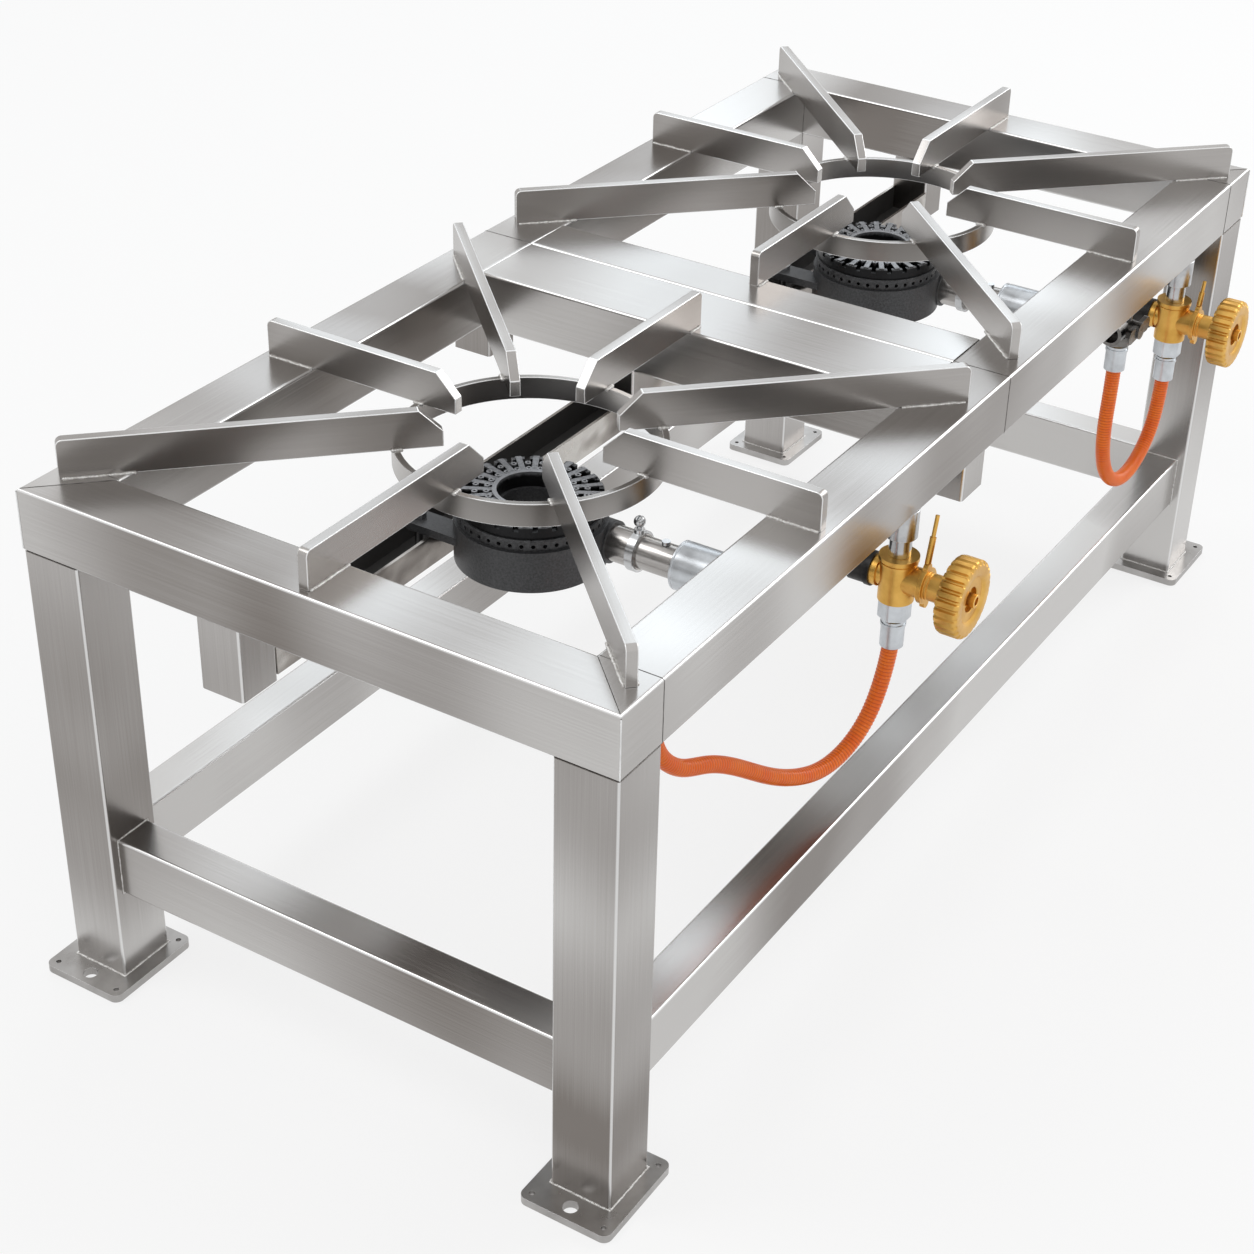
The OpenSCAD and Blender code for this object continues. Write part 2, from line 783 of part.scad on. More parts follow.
// The feed from the valve's back port to the jet: a coupling, two elbows and a sloped pipe
module feed_pipe(sx) {
    jet_x = sx * cell_x + mix_off;
    valve_x = sx * cell_x + valve_off;
    port_y = valve_y + port_len;
    run = [jet_x - valve_x, 0, mix_z - valve_z];
    tilt = atan2(run[2], -run[0]);
    difference() {
        union() {
            rod_y(valve_x, valve_z, port_y, port_y + coupling_len, coupling_r);
            rod_y(valve_x, valve_z, port_y, port_y + coupling_ring_w, coupling_ring_r);
            rod_y(valve_x, valve_z, port_y, -jet_elbow_at, feed_r);
            elbow_drum(valve_x, valve_z, elbow_r, elbow_h);
            translate([valve_x, -jet_elbow_at, valve_z]) rotate([0, tilt - 90, 0])
                cylinder(h = norm(run), r = feed_r);
            elbow_drum(jet_x, mix_z, elbow_r, elbow_h);
            rod_y(jet_x, mix_z, -jet_elbow_at, -jet_elbow_at + jet_boss_len, jet_boss_r);
        }
        rod_y(valve_x, valve_z, port_y - over, -jet_elbow_at, feed_bore);
        elbow_drum(valve_x, valve_z, elbow_bore, elbow_bore_h);
        translate([valve_x, -jet_elbow_at, valve_z]) rotate([0, tilt - 90, 0])
            cylinder(h = norm(run), r = feed_bore);
        elbow_drum(jet_x, mix_z, elbow_bore, elbow_bore_h);
        rod_y(jet_x, mix_z, -jet_elbow_at, -jet_elbow_at + jet_boss_len + over,
              jet_d / 2 + run_fit);
    }
}

module feed_pipes() color("dimgray") for (sx = [-1, 1]) feed_pipe(sx);

// The brass jets, screwed into the last elbow and aimed into the mixing tube
module gas_jets() {
    color("goldenrod") for (sx = [-1, 1]) {
        x = sx * cell_x + mix_off;
        face = -jet_elbow_at + jet_boss_len;
        difference() {
            union() {
                rod_y(x, mix_z, face - jet_seat, face + jet_len - jet_cone_len, jet_d / 2);
                translate([x, face + jet_len, mix_z]) rotate([90, 0, 0])
                    cylinder(h = jet_cone_len, d1 = jet_tip_d, d2 = jet_d);
            }
            rod_y(x, mix_z, face - jet_seat - over, face + jet_len + over, jet_hole_d / 2);
        }
    }
}

module burner_bolts() {
    top = ear_z + ear_t;
    color("gainsboro") for (sx = [-1, 1], ex = [-ear_x, ear_x])
        translate([sx * cell_x + ex, channel_y, 0]) {
            translate([0, 0, top]) cylinder(h = bolt_head_h, d = bolt_head_d, $fn = 6);
            translate([0, 0, channel_z - bolt_nut_h - over])
                cylinder(h = top - channel_z + bolt_nut_h + 2 * over, d = bolt_d);
            translate([0, 0, channel_z - bolt_nut_h]) difference() {
                cylinder(h = bolt_nut_h, d = bolt_head_d, $fn = 6);
                translate([0, 0, -over])
                    cylinder(h = bolt_nut_h + 2 * over, d = bolt_d + 2 * run_fit);
            }
        }
}

// The valve barrel with its back port, its bonnet neck and the seat between them
module valve_body(sx) {
    x = sx * cell_x + valve_off;
    half = barrel_h / 2;
    color("goldenrod") difference() {
        union() {
            translate([x, valve_y, valve_z - half]) cylinder(h = barrel_h, r = barrel_r);
            translate([x, valve_y, valve_z + half - collar_h])
                cylinder(h = collar_h, r = barrel_r + collar_out);
            translate([x, valve_y, valve_z + half - 2 * collar_h])
                cylinder(h = collar_h / 2, r = barrel_r + collar_out / 2);
            rod_y(x, valve_z, valve_y, valve_y + port_len, port_r);
            rod_y(x, valve_z, valve_y + port_len - port_ring_w, valve_y + port_len,
                  port_r + port_ring_out);
            rod_y(x, valve_z, valve_y - bonnet_seat, valve_y, neck_r);
        }
        rod_y(x, valve_z, valve_y - bonnet_seat - over, valve_y + chamber_back, chamber_bore);
        rod_y(x, valve_z, valve_y, valve_y + port_len + over, valve_seat_r);
        rod_y(x, valve_z, valve_y + chamber_back + valve_seat_t, valve_y + port_len + over,
              gas_bore);
        translate([x, valve_y, valve_z - half - over]) cylinder(h = half + over, r = gas_bore);
        translate([x, valve_y, valve_z + half - socket_stud_h - seat_gap])
            cylinder(h = socket_stud_h + seat_gap + over, r = socket_stud_r + run_fit);
    }
}

module near_valve_body() valve_body(-1);

module far_valve_body() valve_body(1);

// The bonnet closes the barrel and guides the spindle; its flange has two ears
module valve_bonnets() {
    color("goldenrod") for (sx = [-1, 1]) {
        x = sx * cell_x + valve_off;
        seat = valve_y - bonnet_seat;
        difference() {
            union() {
                rod_y(x, valve_z, seat, seat + spigot_len, chamber_bore - run_fit);
                rod_y(x, valve_z, seat - flange_t, seat, flange_r);
                for (sz = [-1, 1])
                    rod_y(x, valve_z + sz * ear_out, seat - flange_t, seat, ear_r);
                rod_y(x, valve_z, valve_y - bonnet_end, seat, bonnet_r);
            }
            rod_y(x, valve_z, valve_y - bonnet_end - over, seat + spigot_len + over,
                  spindle_r + run_fit);
            difference() {
                rod_y(x, valve_z, valve_y - groove_at - over, valve_y - groove_at, bonnet_r + over);
                rod_y(x, valve_z, valve_y - bonnet_end, seat, bonnet_r - over);
            }
        }
    }
}

// The spindle turns in the bonnet, held by its collar, and its tip drives the plug
module valve_spindle(sx) {
    x = sx * cell_x + valve_off;
    collar_face = valve_y - bonnet_seat + spigot_len + seat_gap;
    color("goldenrod") {
        rod_y(x, valve_z, valve_y - wheel_back, collar_face + spindle_collar_t, spindle_r);
        rod_y(x, valve_z, collar_face, collar_face + spindle_collar_t, spindle_collar_r);
        rod_y(x, valve_z, collar_face, valve_y - spindle_tip_end, spindle_tip_r);
        rod_y(x, valve_z, valve_y - wheel_front - nut_out + nut_recess, valve_y - wheel_back,
              spindle_tip_r);
    }
}

module near_valve_spindle() valve_spindle(-1);

module far_valve_spindle() valve_spindle(1);

// The fluted hand wheel, turned from a blank with bevelled edges and a dished face
module hand_wheel(sx) {
    x = sx * cell_x + valve_off;
    r = wheel_d / 2;
    color("gold") translate([x, valve_y - wheel_back, valve_z]) rotate([90, 0, 0]) difference() {
        union() {
            intersection() {
                linear_extrude(wheel_t) difference() {
                    circle(r);
                    for (i = [0 : wheel_flutes - 1]) rotate([0, 0, i * 360 / wheel_flutes])
                        translate([r + flute_out, 0]) circle(flute_r);
                }
                rotate_extrude() polygon([[0, 0], [r - wheel_bevel, 0], [r, wheel_bevel],
                    [r, wheel_t - wheel_bevel], [r - wheel_bevel, wheel_t], [0, wheel_t]]);
            }
            translate([0, 0, -hub_len]) cylinder(h = hub_len + over, r = hub_r);
        }
        translate([0, 0, wheel_t - dish_h])
            cylinder(h = dish_h + over, r1 = dish_r - dish_h, r2 = dish_r + over);
        translate([0, 0, wheel_t - recess_h]) cylinder(h = recess_h, r = recess_r);
        translate([0, 0, -over]) cylinder(h = wheel_t + over, r = spindle_tip_r + run_fit);
        translate([0, 0, -hub_len - over]) cylinder(h = hub_len + over, r = spindle_r + run_fit);
    }
}

module near_hand_wheel() hand_wheel(-1);

module far_hand_wheel() hand_wheel(1);

module wheel_nut(sx)
    color("goldenrod") translate([sx * cell_x + valve_off, valve_y, valve_z]) difference() {
        rod_y(0, 0, -wheel_front - nut_out, -wheel_front + recess_h, nut_r);
        rod_y(0, 0, -wheel_front - nut_out - over, -wheel_front + recess_h + over,
              spindle_tip_r + run_fit);
    }

module near_wheel_nut() wheel_nut(-1);

module far_wheel_nut() wheel_nut(1);

// The plug slides in the barrel and closes the seat; the spindle's tip runs in its bore
module valve_plug(sx)
    color("goldenrod") translate([sx * cell_x + valve_off, valve_y, valve_z]) difference() {
        union() {
            rod_y(0, 0, -plug_back, chamber_back - seat_gap, plug_r);
            rod_y(0, 0, 0, chamber_back + plug_nose_len, plug_nose_r);
        }
        rod_y(0, 0, -plug_back - over, plug_bore_end, spindle_tip_r + run_fit);
    }

module near_valve_plug() valve_plug(-1);

module far_valve_plug() valve_plug(1);

// The plated sockets that hang the valves from the rail
module valve_sockets() {
    stud_z = valve_z + barrel_h / 2 - socket_stud_h;
    color("gainsboro") for (sx = [-1, 1]) translate([sx * cell_x + valve_off, valve_y, 0]) {
        translate([0, 0, rail_under_z - socket_h]) cylinder(h = socket_h, r = socket_r);
        translate([0, 0, stud_z + socket_stud_h])
            cylinder(h = rail_under_z - socket_h - stud_z - socket_stud_h + over, r = socket_neck_r);
        translate([0, 0, stud_z]) cylinder(h = socket_stud_h + over, r = socket_stud_r);
    }
}

// A small brass pin with a sleeve leans on the top ear of each bonnet
module lock_pin(sx, len) {
    foot_y = valve_y - bonnet_seat - flange_t / 2;
    foot_z = valve_z + ear_out + ear_r - seat_gap;
    color("goldenrod") translate([sx * cell_x + valve_off, foot_y, foot_z]) {
        rotate([0, pin_tilt, 0]) {
            cylinder(h = len, r = pin_r);
            cylinder(h = len * pin_sleeve_share, r = pin_sleeve_r);
        }
    }
}

module lock_pins() {
    difference() {
        union() {
            lock_pin(-1, near_pin_len);
            lock_pin(1, far_pin_len);
        }
        for (sx = [-1, 1]) rod_y(sx * cell_x + valve_off, valve_z + ear_out,
            valve_y - bonnet_seat - flange_t - over, valve_y - bonnet_seat + over, ear_r + run_fit);
    }
}

// The hexagon nuts that hold the hose tails to the valves
module hose_nuts() {
    color("gainsboro") for (sx = [-1, 1])
        translate([sx * cell_x + valve_off, valve_y, valve_tail_z]) difference() {
            intersection() {
                cylinder(h = hose_nut_h, r = hose_nut_r, $fn = 6);
                cylinder(h = hose_nut_h, r = hose_nut_r - over);
            }
            translate([0, 0, -over]) cylinder(h = hose_nut_h + over, r = tail_r + run_fit);
            translate([0, 0, hose_nut_h - tail_flange_h - run_fit])
                cylinder(h = tail_flange_h + run_fit + over, r = tail_flange_r + run_fit);
        }
}

// A hose tail: a flange under its nut, a neck, and a barbed stem inside the hose
module hose_tail(x, y, z, rise) {
    translate([x, y, z]) difference() {
        union() {
            translate([0, 0, -ferrule_top - tail_neck])
                cylinder(h = rise + ferrule_top + tail_neck, r = tail_r);
            translate([0, 0, rise - tail_flange_h]) cylinder(h = tail_flange_h, r = tail_flange_r);
            translate([0, 0, -tail_neck - tail_barb_len]) cylinder(h = tail_barb_len, r = tail_barb_r);
        }
        translate([0, 0, -tail_neck - tail_barb_len - over])
            cylinder(h = tail_barb_len + tail_neck + rise + 2 * over, r = tail_bore);
    }
}

module hose_tails() {
    color("goldenrod") {
        for (sx = [-1, 1])
            hose_tail(sx * cell_x + valve_off, valve_y, valve_tail_z, hose_nut_h);
        hose_tail(near_cock_x, near_cock_y, near_cock_top - cock_len, cock_nut_h);
        hose_tail(far_cock_x, far_cock_y, far_cock_top - cock_len, cock_nut_h);
    }
}

// A crimped ferrule over the end of the hose
module ferrule(x, y, z) {
    translate([x, y, z]) difference() {
        union() {
            cylinder(h = ferrule_len, d = ferrule_d);
            translate([0, 0, ferrule_len - ferrule_ring_at])
                cylinder(h = ferrule_ring_w, d = ferrule_d + 2 * ferrule_ring_out);
        }
        translate([0, 0, -over])
            cylinder(h = ferrule_len - ferrule_top + over, d = hose_d + 2 * seat_gap);
        cylinder(h = ferrule_len + over, r = tail_r + run_fit);
    }
}

module hose_ferrules() {
    color("lightsteelblue") {
        for (sx = [-1, 1]) ferrule(sx * cell_x + valve_off, valve_y, valve_hose_z);
        ferrule(near_cock_x, near_cock_y, near_cock_top - cock_hose_drop);
        ferrule(far_cock_x, far_cock_y, far_cock_top - cock_hose_drop);
    }
}

// A ribbed hose with its bore, swept along a smooth curve guided by the points of its route
function unit(v) = v / norm(v);
function before(p, i) = i == 0 ? 2 * p[0] - p[1] : p[i - 1];
function after(p, i) = i + 2 > len(p) - 1 ? 2 * p[i + 1] - p[i] : p[i + 2];
function on_curve(p, i, t) = let (u = 1 - t)
    (u * u * u * before(p, i) + (3 * t * t * t - 6 * t * t + 4) * p[i]
     + (3 * u * u * u - 6 * u * u + 4) * p[i + 1] + t * t * t * after(p, i)) / 6;
function steps_in(p, i) = 2 * max(1, round(norm(p[i + 1] - p[i]) / rib_pitch));
function centres(p) = concat([for (i = [0 : len(p) - 2], k = [0 : steps_in(p, i) - 1])
    on_curve(p, i, k / steps_in(p, i))], [p[len(p) - 1]]);
function heading(c, i) = i == 0 || i == len(c) - 1 ? [0, 0, i == 0 ? -1 : 1]
    : unit(c[i + 1] - c[i - 1]);
function ring_at(c, i, r) = let (t = heading(c, i), a = unit(cross(t, [0, 1, 0])), b = cross(t, a))
    [for (k = [0 : hose_sides - 1]) let (q = (k + 1 / 2) * 360 / hose_sides)
        c[i] + r * (a * cos(q) + b * sin(q))];
function skin(first, rings, flip) = [for (j = [0 : rings - 2], k = [0 : hose_sides - 1])
    let (n = (k + 1) % hose_sides, a = first + j * hose_sides, b = a + hose_sides)
    each flip ? [[a + k, a + n, b + n], [a + k, b + n, b + k]]
              : [[a + k, b + n, a + n], [a + k, b + k, b + n]]];
function cap_ring(outer, inner, flip) = [for (k = [0 : hose_sides - 1])
    let (n = (k + 1) % hose_sides)
    each flip ? [[outer + k, inner + n, inner + k], [outer + k, outer + n, inner + n]]
              : [[outer + k, inner + k, inner + n], [outer + k, inner + n, outer + n]]];

module gas_hose(route) {
    mids = centres(route);
    last = len(mids) - 1;
    bore_rings = [for (i = [0 : bore_step : last - 1]) i];
    inner_at = concat(bore_rings, [last]);
    outer = [for (i = [0 : last]) each ring_at(mids, i, hose_d / 2 - (i % 2 == 0 ? rib_depth : 0))];
    inner = [for (i = inner_at) each ring_at(mids, i, hose_bore / 2)];
    base = len(outer);
    color("orangered") polyhedron(points = concat(outer, inner), faces = concat(
        skin(0, last + 1, false), skin(base, len(inner_at), true),
        cap_ring(0, base, true),
        cap_ring(last * hose_sides, base + (len(inner_at) - 1) * hose_sides, false)), convexity = 8);
}

module near_gas_hose() gas_hose(near_route);

module far_gas_hose() gas_hose(far_route);

// The plate under the front rail that carries the near hand cock
module cock_bracket() {
    len = bracket_y + half_wid - bracket_t;
    color("silver") translate([near_cock_x, bracket_y - len / 2, near_cock_top])
        linear_extrude(bracket_t) rounded(bracket_w, len, bracket_r);
}

// A round bar along X, from x0 to x1
module rod_x(x0, x1, y, z, r)
    translate([x0, y, z]) rotate([0, 90, 0]) cylinder(h = x1 - x0, r = r);

// The hand cock: hung by its top, with its gas inlet at the side and its outlet below
module cock_body(x, y, top) {
    translate([x, y, top - cock_axis_drop]) {
        under = cock_axis_drop - cock_len;
        difference() {
            union() {
                translate([0, 0, cock_axis_drop - cock_boss_h]) cylinder(h = cock_boss_h, r = cock_boss_r);
                translate([0, 0, under]) cylinder(h = cock_len, r = cock_r);
                translate([0, 0, under]) cylinder(h = cock_nut_h, r = cock_nut_r, $fn = 6);
                rod_x(-cock_port_len, 0, 0, 0, cock_port_r);
                rod_y(0, 0, 0, cock_back, cock_back_r);
                rod_y(0, 0, -cock_front, 0, cock_front_r);
            }
            rod_x(-cock_port_len - over, inlet_len - cock_port_len, 0, 0, inlet_d / 2);
            rod_x(-cock_port_len, 0, 0, 0, cock_bore);
            rod_y(0, 0, -cock_plug_front - run_fit, cock_back + over, cock_plug_r + run_fit);
            rod_y(0, 0, -cock_front - over, 0, cock_stem_r + run_fit);
            translate([0, 0, under - over]) cylinder(h = over - under, r = cock_bore);
            translate([0, 0, under - over]) cylinder(h = cock_nut_h + over, r = tail_r + run_fit);
            translate([0, 0, under + cock_nut_h - tail_flange_h - run_fit])
                cylinder(h = tail_flange_h + 2 * run_fit, r = tail_flange_r + run_fit);
        }
    }
}

module cock_bodies() {
    color("gray") {
        cock_body(near_cock_x, near_cock_y, near_cock_top);
        cock_body(far_cock_x, far_cock_y, far_cock_top);
    }
}

// The wing handle with its stem and bored plug, in one piece
module cock_wing(x, y, top) {
    front = cock_front + seat_gap;
    color("gray") translate([x, y, top - cock_axis_drop]) difference() {
        union() {
            rod_y(0, 0, -cock_plug_front, cock_plug_back, cock_plug_r);
            rod_y(0, 0, -front - wing_hub_t, 0, cock_stem_r);
            rod_y(0, 0, -front - wing_hub_t, -front, wing_hub_r);
            translate([0, -front - (wing_hub_t - wing_t) / 2, 0]) rotate([90, 0, 0])
                linear_extrude(wing_t) {
                    polygon([[-wing_reach, wing_r], [0, wing_root], [wing_reach, wing_r],
                             [wing_reach, -wing_r], [0, -wing_root], [-wing_reach, -wing_r]]);
                    for (s = [-1, 1]) translate([s * wing_reach, 0]) circle(wing_r);
                }
        }
        rod_x(-cock_plug_r - over, 0, 0, 0, cock_bore);
        translate([0, 0, -cock_plug_r - over]) cylinder(h = cock_plug_r + over, r = cock_bore);
        sphere(r = cock_bore + seat_gap);
    }
}

module near_cock_wing() cock_wing(near_cock_x, near_cock_y, near_cock_top);

module far_cock_wing() cock_wing(far_cock_x, far_cock_y, far_cock_top);

near_end_rail();
far_end_rail();
corner_returns();
front_rail_near();
front_rail_far();
back_rail_near();
back_rail_far();
wide_cross_beam();
narrow_cross_beam();
front_legs();
back_legs();
foot_plates();
end_stretchers();
front_stretcher();
back_stretcher();
burner_channel();
channel_posts();
centre_stubs();
near_pan_ring();
far_pan_ring();
near_grate_bars();
far_grate_bars();
near_burner_bowl();
far_burner_bowl();
near_port_ring();
far_port_ring();
near_burner_cap();
far_burner_cap();
near_mixing_tube();
far_mixing_tube();
near_air_shutter();
far_air_shutter();
tube_clamps();
tube_screws();
feed_pipes();
gas_jets();
burner_bolts();
near_valve_body();
far_valve_body();
valve_bonnets();
near_valve_spindle();
far_valve_spindle();
near_hand_wheel();
far_hand_wheel();
near_wheel_nut();
far_wheel_nut();
near_valve_plug();
far_valve_plug();
valve_sockets();
lock_pins();
hose_nuts();
hose_tails();
hose_ferrules();
near_gas_hose();
far_gas_hose();
cock_bracket();
cock_bodies();
near_cock_wing();
far_cock_wing();
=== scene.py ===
import math

import bpy
from mathutils import Matrix, Vector, noise


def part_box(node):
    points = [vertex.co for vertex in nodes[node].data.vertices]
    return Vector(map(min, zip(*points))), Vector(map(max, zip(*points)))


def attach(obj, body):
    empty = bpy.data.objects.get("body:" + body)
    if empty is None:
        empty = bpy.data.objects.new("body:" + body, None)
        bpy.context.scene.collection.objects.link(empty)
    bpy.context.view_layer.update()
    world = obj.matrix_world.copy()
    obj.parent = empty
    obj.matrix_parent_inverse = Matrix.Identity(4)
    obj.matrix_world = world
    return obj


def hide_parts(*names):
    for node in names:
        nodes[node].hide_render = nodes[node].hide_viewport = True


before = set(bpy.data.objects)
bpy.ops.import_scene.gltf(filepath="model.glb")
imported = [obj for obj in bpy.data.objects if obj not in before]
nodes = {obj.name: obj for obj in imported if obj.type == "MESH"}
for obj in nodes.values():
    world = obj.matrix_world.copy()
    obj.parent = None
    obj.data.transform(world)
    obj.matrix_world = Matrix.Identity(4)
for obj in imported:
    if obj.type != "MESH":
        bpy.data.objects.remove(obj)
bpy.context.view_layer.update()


# The camera stands above the near front corner of the stove and looks down along it, with a
# long lens, so that both burners and the front gas fittings are in view.
camera = bpy.data.objects.new("camera", bpy.data.cameras.new("camera"))
bpy.context.scene.collection.objects.link(camera)
bpy.context.scene.camera = camera
camera.location = (-1.864, -1.047, 1.482)
camera.rotation_euler = [math.radians(a) for a in (57.73, -1.56, -58.19)]
camera.data.lens = 67.98
camera.data.shift_x = -0.0247
camera.data.clip_end = 60
bpy.context.scene.view_settings.view_transform = "Standard"


# The gas hoses are orange rubber, 16 mm across, moulded with fine ribs round them. Each leaves a
# crimped ferrule under its valve, hangs in a loop and goes up into the ferrule of its hand cock.
def hose_centres(guide, step):
    """Points of the smooth line that the guide points pull on, a step apart."""
    ends = [guide[0] * 2 - guide[1], *guide, guide[-1] * 2 - guide[-2]]
    dense, parts = [], 40
    for a, b, c, d in zip(ends, ends[1:], ends[2:], ends[3:]):
        for k in range(parts):
            t = k / parts
            u = 1 - t
            dense.append((a * u**3 + b * (3 * t**3 - 6 * t**2 + 4)
                          + c * (3 * u**3 - 6 * u**2 + 4) + d * t**3) / 6)
    dense.append(guide[-1])
    centres, travelled = [dense[0]], 0.0
    for a, b in zip(dense, dense[1:]):
        travelled += (b - a).length
        if travelled >= step:
            centres.append(b)
            travelled -= step
    if (centres[-1] - guide[-1]).length > step / 2:
        centres.append(guide[-1])
    return centres


def ribbed_hose(name, guide, diameter, pitch, rib=(-0.00060, -0.00012, 0.0, -0.00012)):
    """A hose with its centre points and length; rib is what each ring adds to the radius."""
    sides = 28
    centres = hose_centres(guide, pitch / len(rib))
    verts, faces = [], []
    for i, centre in enumerate(centres):
        ahead = centres[min(i + 1, len(centres) - 1)] - centres[max(i - 1, 0)]
        ahead.normalize()
        side = ahead.cross(Vector((0, 1, 0))).normalized()
        up = ahead.cross(side)
        radius = diameter / 2 + rib[i % len(rib)]
        for k in range(sides):
            turn = 2 * math.pi * k / sides
            verts.append(centre + radius * (side * math.cos(turn) + up * math.sin(turn)))
    for i in range(len(centres) - 1):
        for k in range(sides):
            n = (k + 1) % sides
            faces.append((i * sides + k, i * sides + n, (i + 1) * sides + n, (i + 1) * sides + k))
    faces.append(tuple(reversed(range(sides))))
    faces.append(tuple(range(len(verts) - sides, len(verts))))
    mesh = bpy.data.meshes.new(name)
    mesh.from_pydata([tuple(v) for v in verts], [], faces)
    mesh.shade_smooth()
    groove = mesh.attributes.new("groove", "FLOAT", "POINT")
    groove.data.foreach_set("value", [float(i // sides % len(rib) == 0) for i in range(len(verts))])
    hose = bpy.data.objects.new(name, mesh)
    bpy.context.scene.collection.objects.link(hose)
    length = sum((b - a).length for a, b in zip(centres, centres[1:]))
    return hose, centres, length


class Tone:
    """A socket of a material. Arithmetic on it adds Math nodes, and node() adds any other."""

    def __init__(self, tree, socket):
        self.tree, self.socket = tree, socket

    def node(self, kind, settings=None, inputs=None, out=0):
        made = self.tree.nodes.new("ShaderNode" + kind)
        for key, value in (settings or {}).items():
            if key == "stops":
                ramp = made.color_ramp.elements
                while len(ramp) < len(value):
                    ramp.new(1.0)
                for stop, (position, colour) in zip(ramp, value):
                    stop.position, stop.color = position, (*colour, 1)
            else:
                setattr(made, key, value)
        for key, value in (inputs or {}).items():
            if isinstance(value, Tone):
                self.tree.links.new(value.socket, made.inputs[key])
            else:
                made.inputs[key].default_value = value
        return Tone(self.tree, made.outputs[out])

    def maths(self, operation, first, second):
        return self.node("Math", {"operation": operation}, {0: first, 1: second})

    def __add__(self, other): return self.maths("ADD", self, other)
    def __radd__(self, other): return self.maths("ADD", other, self)
    def __sub__(self, other): return self.maths("SUBTRACT", self, other)
    def __rsub__(self, other): return self.maths("SUBTRACT", other, self)
    def __mul__(self, other): return self.maths("MULTIPLY", self, other)
    def __rmul__(self, other): return self.maths("MULTIPLY", other, self)

    def colours(self, *stops):
        """A ramp of (position, colour) stops."""
        return self.node("ValToRGB", {"stops": stops}, {0: self})

    def blend(self, first, second):
        """The first colour where this tone is 0 and the second where it is 1."""
        first, second = [c if isinstance(c, Tone) else (*c, 1) for c in (first, second)]
        return self.node("Mix", {"data_type": "RGBA"}, {0: self, 6: first, 7: second}, 2)

    def clouds(self, scale, detail=2.0, rough=0.5, stretch=(1, 1, 1)):
        """Noise on this place, with a higher frequency along an axis whose stretch is higher."""
        place = self.node("Mapping", None, {"Vector": self, "Scale": stretch})
        return self.node("TexNoise", None, {"Vector": place, "Scale": scale, "Detail": detail,
                                            "Roughness": rough})

    def part(self, axis):
        """One part of a vector: 0, 1 or 2 for x, y or z."""
        return self.node("SeparateXYZ", None, {0: self}, axis)

    def attribute(self, name, out):
        """An attribute of the mesh: out is 1 for a vector and 2 for a number."""
        return self.node("Attribute", {"attribute_name": name}, None, out)


VECTOR, NUMBER = 1, 2


def finish(name, base, roughness, metallic, **fixed):
    """A material, its shader and the Tone of its object coordinates."""
    material = bpy.data.materials.new(name)
    material.use_nodes = True
    tree = material.node_tree
    shader = next(n for n in tree.nodes if n.type == "BSDF_PRINCIPLED")
    shader.inputs["Base Color"].default_value = (*base, 1)
    shader.inputs["Roughness"].default_value = roughness
    shader.inputs["Metallic"].default_value = metallic
    for key, value in fixed.items():
        shader.inputs[key.replace("_", " ")].default_value = value
    place = Tone(tree, tree.nodes.new("ShaderNodeTexCoord").outputs["Object"])
    return material, shader, place


def lay(shader, place, **tones):
    """Links tones to the shader's sockets; relief=(height, distance, strength) adds a bump."""
    for key, tone in tones.items():
        if key == "relief":
            height, distance, strength = tone
            tone = place.node("Bump", None, {"Height": height, "Distance": distance,
                                             "Strength": strength})
            key = "Normal"
        place.tree.links.new(tone.socket, shader.inputs[key.replace("_", " ")])


def dress(material, *names):
    """Gives CAD nodes that stay a material."""
    for name in names:
        data = nodes[name].data
        data.materials.clear()
        data.materials.append(material)


hose_rubber, shader, place = finish("hose_rubber", (0.90, 0.14, 0.01), 0.38, 0.0,
                                    Specular_IOR_Level=0.35)
groove = place.attribute("groove", NUMBER)
tint = place.clouds(55, 3)
# Small pale spots are painted on the rubber as painted highlights, for the glints on the ribs.
glint_cells = place.node("TexVoronoi", {"feature": "F1"}, {"Vector": place, "Scale": 420})
glint_spot = glint_cells.maths("LESS_THAN", glint_cells, 0.17)
body_colour = tint.colours((0.35, (0.95, 0.150, 0.006)), (0.65, (1.0, 0.205, 0.011)))
# The grooves between the ribs are painted darker, as painted shade in the recesses.
groove_shaded = (groove * 0.7).blend(body_colour, (0.58, 0.065, 0.004))
glint_spotted = (glint_spot * 0.25).blend(groove_shaded, (1.0, 0.60, 0.36))
lay(shader, place, Base_Color=glint_spotted, Roughness=tint * 0.14 + 0.24,
    relief=(place.clouds(900, 2), 0.0001, 0.15))

hose_routes = {
    "near": [(-0.165, -0.285, 0.331), (-0.165, -0.285, 0.305), (-0.170, -0.282, 0.268),
             (-0.183, -0.278, 0.232), (-0.211, -0.272, 0.208), (-0.247, -0.265, 0.201),
             (-0.282, -0.258, 0.211), (-0.314, -0.250, 0.227), (-0.343, -0.242, 0.248),
             (-0.371, -0.235, 0.269), (-0.402, -0.228, 0.287), (-0.437, -0.223, 0.297),
             (-0.464, -0.217, 0.323), (-0.475, -0.215, 0.353), (-0.475, -0.215, 0.391)],
    "far": [(0.510, -0.285, 0.331), (0.510, -0.285, 0.305), (0.510, -0.284, 0.275),
            (0.501, -0.284, 0.246), (0.480, -0.283, 0.224), (0.453, -0.282, 0.211),
            (0.422, -0.281, 0.211), (0.394, -0.280, 0.224), (0.374, -0.278, 0.246),
            (0.364, -0.277, 0.275), (0.363, -0.276, 0.306), (0.366, -0.276, 0.336),
            (0.370, -0.275, 0.366), (0.370, -0.275, 0.396)]}
hose_diameter, rib_pitch = 0.016, 0.0031
